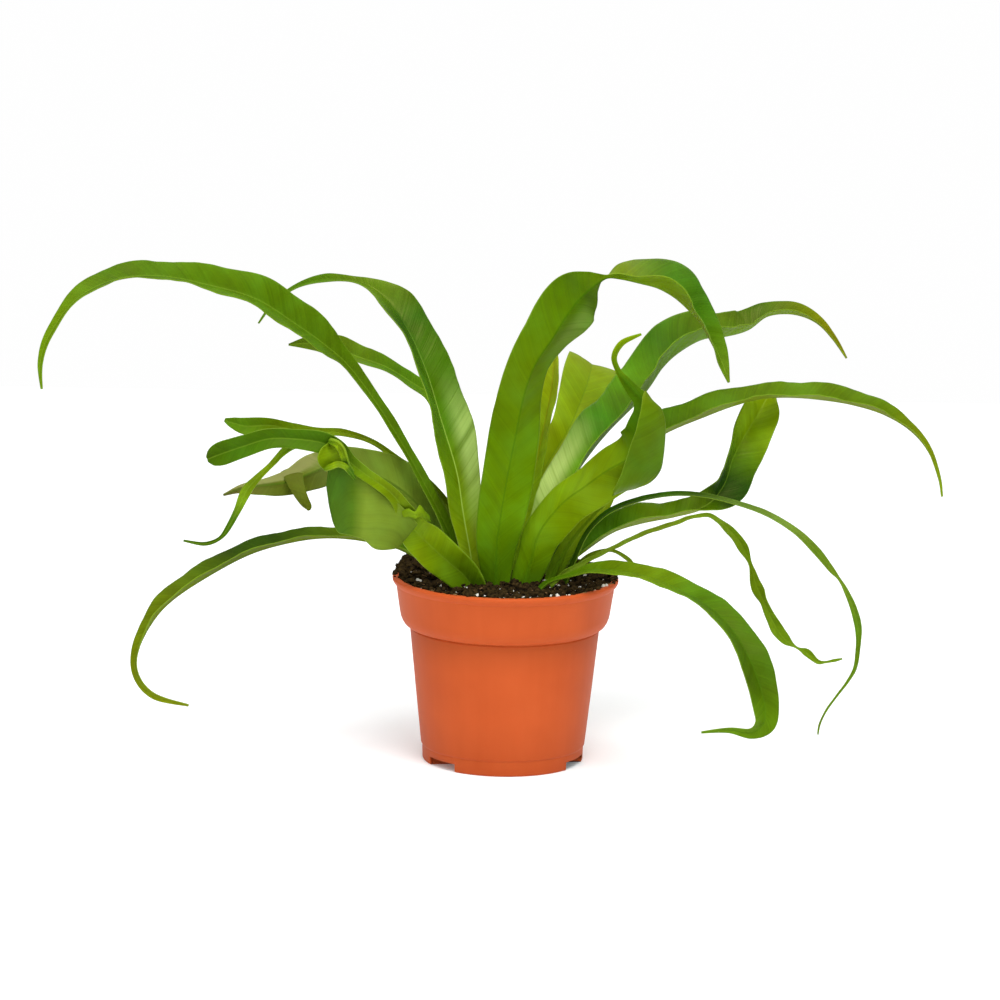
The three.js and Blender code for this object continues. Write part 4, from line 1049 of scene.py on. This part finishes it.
grow_frond("frond_13_right_arch", fold=30, ripple=0.6, pitch=34, rows=[
    (17, 92, 4, 3.5, 50), (25, 111, 8.5, 5.5, 52), (37, 131, 13, 8, 54), (51, 150, 19, 10, 56),
    (66.5, 167, 28, 12, 60), (84, 178.3, 39, 14.3, 66), (103, 186.8, 50, 13.6, 68),
    (119, 193.2, 60, 12.4, 67), (134, 197.2, 68, 9.2, 64), (150, 198, 76, 10, 66),
    (166, 196.9, 83, 11, 66), (182, 194.4, 88, 10.4, 66), (198, 189.6, 92, 7.7, 64),
    (212, 181.5, 94, 4.6, 60), (222, 170.5, 95, 1.9, 44), (228, 156.5, 95, 0.9, 10),
    (230, 146, 95, 0.5, 10),
], upper=[
    (0, 0x3c6601), (0.4, 0x4d7702), (0.52, 0x496a02), (0.61, 0x517203), (0.8, 0x506f02),
    (0.88, 0x667703), (1, 0x6d8103),
], under=[
    (0, 0x607b08), (1, 0x6a7b13),
])


# ---- Frond 14, bent --------------------------------------
# A gutter-shaped frond that runs low to the right, then kinks and stands up behind the long arch
# with its upper face to the front.

grow_frond("frond_14_bent", fold=32, ripple=0.6, pitch=32, rows=[
    (22, 91, -4, 3.5, 50), (31, 105, 0, 6, 54), (43, 115, 9.5, 10, 60), (57, 124.5, 22, 11.5, 65),
    (72, 129.4, 33, 12, 66), (88, 132.8, 44, 10.2, 66), (101, 136.5, 53, 8, 50),
    (107.5, 140.6, 57.5, 8.4, 8), (111.5, 145.4, 61, 10.8, -30), (115.3, 152.5, 65, 13.4, -40),
    (118.6, 164.2, 70, 15.2, -42), (122.8, 173.5, 76, 14.5, -28), (128, 182.4, 81, 13.3, -12),
    (131.6, 188.8, 85, 12.4, -7), (134.2, 194, 89, 9.6, 0), (136.8, 199, 92, 4.6, 0),
    (139, 203, 95, 0.6, 0),
], upper=[
    # painted shade: the colour is nearly black at the kink, where the blade stands up
    (0, 0x294d02), (0.3, 0x335d01), (0.42, 0x597b00), (0.52, 0x4d7001), (0.59, 0x486702),
    (0.635, 0x183703), (0.69, 0x183c04), (0.77, 0x4d7205), (0.86, 0x789906), (1, 0x7a9508),
], under=[
    (0, 0x59730d), (0.5, 0x6a7f11), (1, 0x627b09),
], glossy={"gloss": 0.32, "shine": 0.14})


# ---- Frond 15, long thin ---------------------------------
# A very long and narrow frond, only a few millimetres wide. It arches over to the right and hangs
# almost to the ground.

grow_frond("frond_15_long_thin", fold=18, ripple=0, pitch=30, rows=[
    (30, 91, -10, 1.6, 45), (36, 107, -15, 1.6, 45), (43, 123, -20, 1.7, 48),
    (54, 134.3, -28, 2, 51), (70, 141.2, -37, 2, 51), (88, 144.6, -46, 1.9, 51),
    (104, 144, -54, 1.8, 51), (120, 140.6, -61, 1.8, 50), (137, 135, -68, 2, 46),
    (152.5, 126, -74, 2.2, 40), (163.5, 116, -78, 2.4, 28), (172.3, 105.8, -81.5, 1.7, 20),
    (177, 100.5, -83, 0.8, 0), (181.2, 93.5, -84.5, 1.3, -10), (185.1, 85, -86.5, 1.8, -15),
    (187.8, 75.5, -88, 1.9, -10), (188.3, 65.5, -89, 1.3, -5), (187, 52.5, -90, 1, 0),
    (183, 44.5, -90, 0.7, 0), (177.8, 37, -90, 0.55, 0), (172.5, 29, -90, 0.5, 0),
    (169.2, 21.5, -89.5, 0.5, 0), (168.3, 15.5, -89, 0.35, 0),
], upper=[
    (0, 0x224101), (0.27, 0x2d5901), (0.38, 0x254502), (0.46, 0x4a671d), (0.56, 0x5d7925),
    (0.6, 0x57721a), (0.63, 0x4e6a0d), (0.7, 0x5d7819), (0.78, 0x4d700e), (1, 0x577809),
], under=[
    (0, 0x4b5e0c), (1, 0x627513),
], glossy={"rib_share": 0.1})


# ---- Frond 16, wavy thin ---------------------------------
# A thin ribbon of a frond at the front right. Its margins wave in short ripples, and its outer
# half twists to and fro.

grow_frond("frond_16_wavy_thin", fold=16, ripple=1.2, pitch=13, rows=[
    (21, 90.5, -17, 1.5, 20), (30, 100, -21, 1.4, 10), (43, 108, -28, 1.2, 0),
    (58, 116, -36, 1.1, 0), (73, 123.5, -45, 1.2, 0), (88, 128.8, -53, 1.2, 0),
    (97.6, 132.5, -58, 1, 0), (106, 133.8, -62, 1.1, 10), (111.5, 131.2, -65, 1.5, 30),
    (117, 126.5, -68, 2.3, 20), (122.3, 121.7, -70.5, 2.5, -10), (125.8, 115.9, -72.5, 2.7, 0),
    (129.5, 107.7, -75, 1.2, 35), (132.1, 98.6, -77.5, 2.7, 10), (134.6, 93.2, -79, 3.2, -5),
    (137.9, 86.8, -81.5, 2.2, -30), (141.6, 78.7, -84, 2.7, -10), (145.4, 71.7, -86, 3.5, 10),
    (149.8, 66.3, -88, 2.7, 30), (155.6, 62.8, -90, 0.7, 50), (161.1, 60, -92, 2, 10),
    (166.9, 55.5, -94, 1.2, 0), (171.2, 55.2, -95, 0.5, 40), (176, 56.2, -95.5, 0.8, 0),
    (180, 57.3, -96, 0.4, 0),
], upper=[
    (0, 0x628015), (0.2, 0x67831a), (0.4, 0x6a8517), (0.45, 0x668010), (0.48, 0x5d790c),
    (0.55, 0x4f6a03), (0.73, 0x4f6b03), (1, 0x5d7e06),
], under=[
    (0, 0x6a841c), (0.4, 0x5b7f12), (0.6, 0x577706), (1, 0x67850d),
], glossy={"rib_share": 0.1})


# ---- Frond 17, low right ---------------------------------
# A low frond at the front right. It arches out over the rim and down, grows broader on the way,
# and curls in at the tip.

grow_frond("frond_17_low_right", fold=22, ripple=0.5, pitch=36, rows=[
    (15, 87.5, -24, 1.4, 45), (22, 95.5, -28, 1.3, 45), (33, 99.5, -35, 1.4, 45),
    (46, 103.2, -44, 4, 48), (62, 102.5, -56, 6.1, 50), (78, 99, -68, 6.9, 51),
    (94, 92.5, -80, 7.5, 51), (109, 83.6, -92, 8.2, 50), (121, 71.6, -102, 9.5, 46),
    (130, 57.2, -110, 10.2, 38), (136, 43, -114, 9, 27), (139.5, 30, -117, 7.4, 12),
    (139, 21, -118, 6, 22), (132.5, 16, -117, 3.2, 30), (120.5, 17, -116, 1.5, 10),
    (106, 15.5, -115, 0.5, 10),
], upper=[
    (0, 0x3f6802), (0.2, 0x527401), (0.36, 0x5f7b01), (0.5, 0x446e02), (0.75, 0x3b5b02),
    (0.84, 0x4d7203), (0.93, 0x53790b), (1, 0x5a7e14),
], under=[
    (0, 0x6a820c), (1, 0x758813),
], glossy={"rib": 0x3f6a0c})


# ---- Frond 18, tiny --------------------------------------
# A very small, thread-like young frond that comes up between the bases on the right and nods over
# at its tip.

grow_frond("frond_18_tiny", fold=14, ripple=0, pitch=20, rows=[
    (27, 92, 4, 1.3, 40), (36, 103, 0, 1.3, 35), (45, 111.5, -4, 1, 10), (56, 113.8, -8, 0.9, 0),
    (65, 109, -12, 1.1, 0), (69, 103.5, -14, 0.5, 10),
], upper=[
    (0, 0x627a0c), (1, 0x607a09),
], under=[
    (0, 0x627a0c), (1, 0x6a7f11),
], glossy={"rib_share": 0.1})


# ---- Frond 19, short right -------------------------------
# A short young frond low on the right. It stands nearly straight, with its underside to the
# front.

grow_frond("frond_19_short_right", fold=24, ripple=0.2, pitch=22, rows=[
    (22, 91.5, -9.5, 2.6, 165), (27.5, 105, -11, 4.2, 180), (35, 119, -13, 4.5, 180),
    (44.5, 131, -15, 4.6, 180), (52, 139, -17, 3.6, 180), (57, 145.5, -18, 0.6, 180),
], upper=[
    (0, 0x466d04), (1, 0x537508),
], under=[
    (0, 0x557904), (1, 0x7f980c),
])
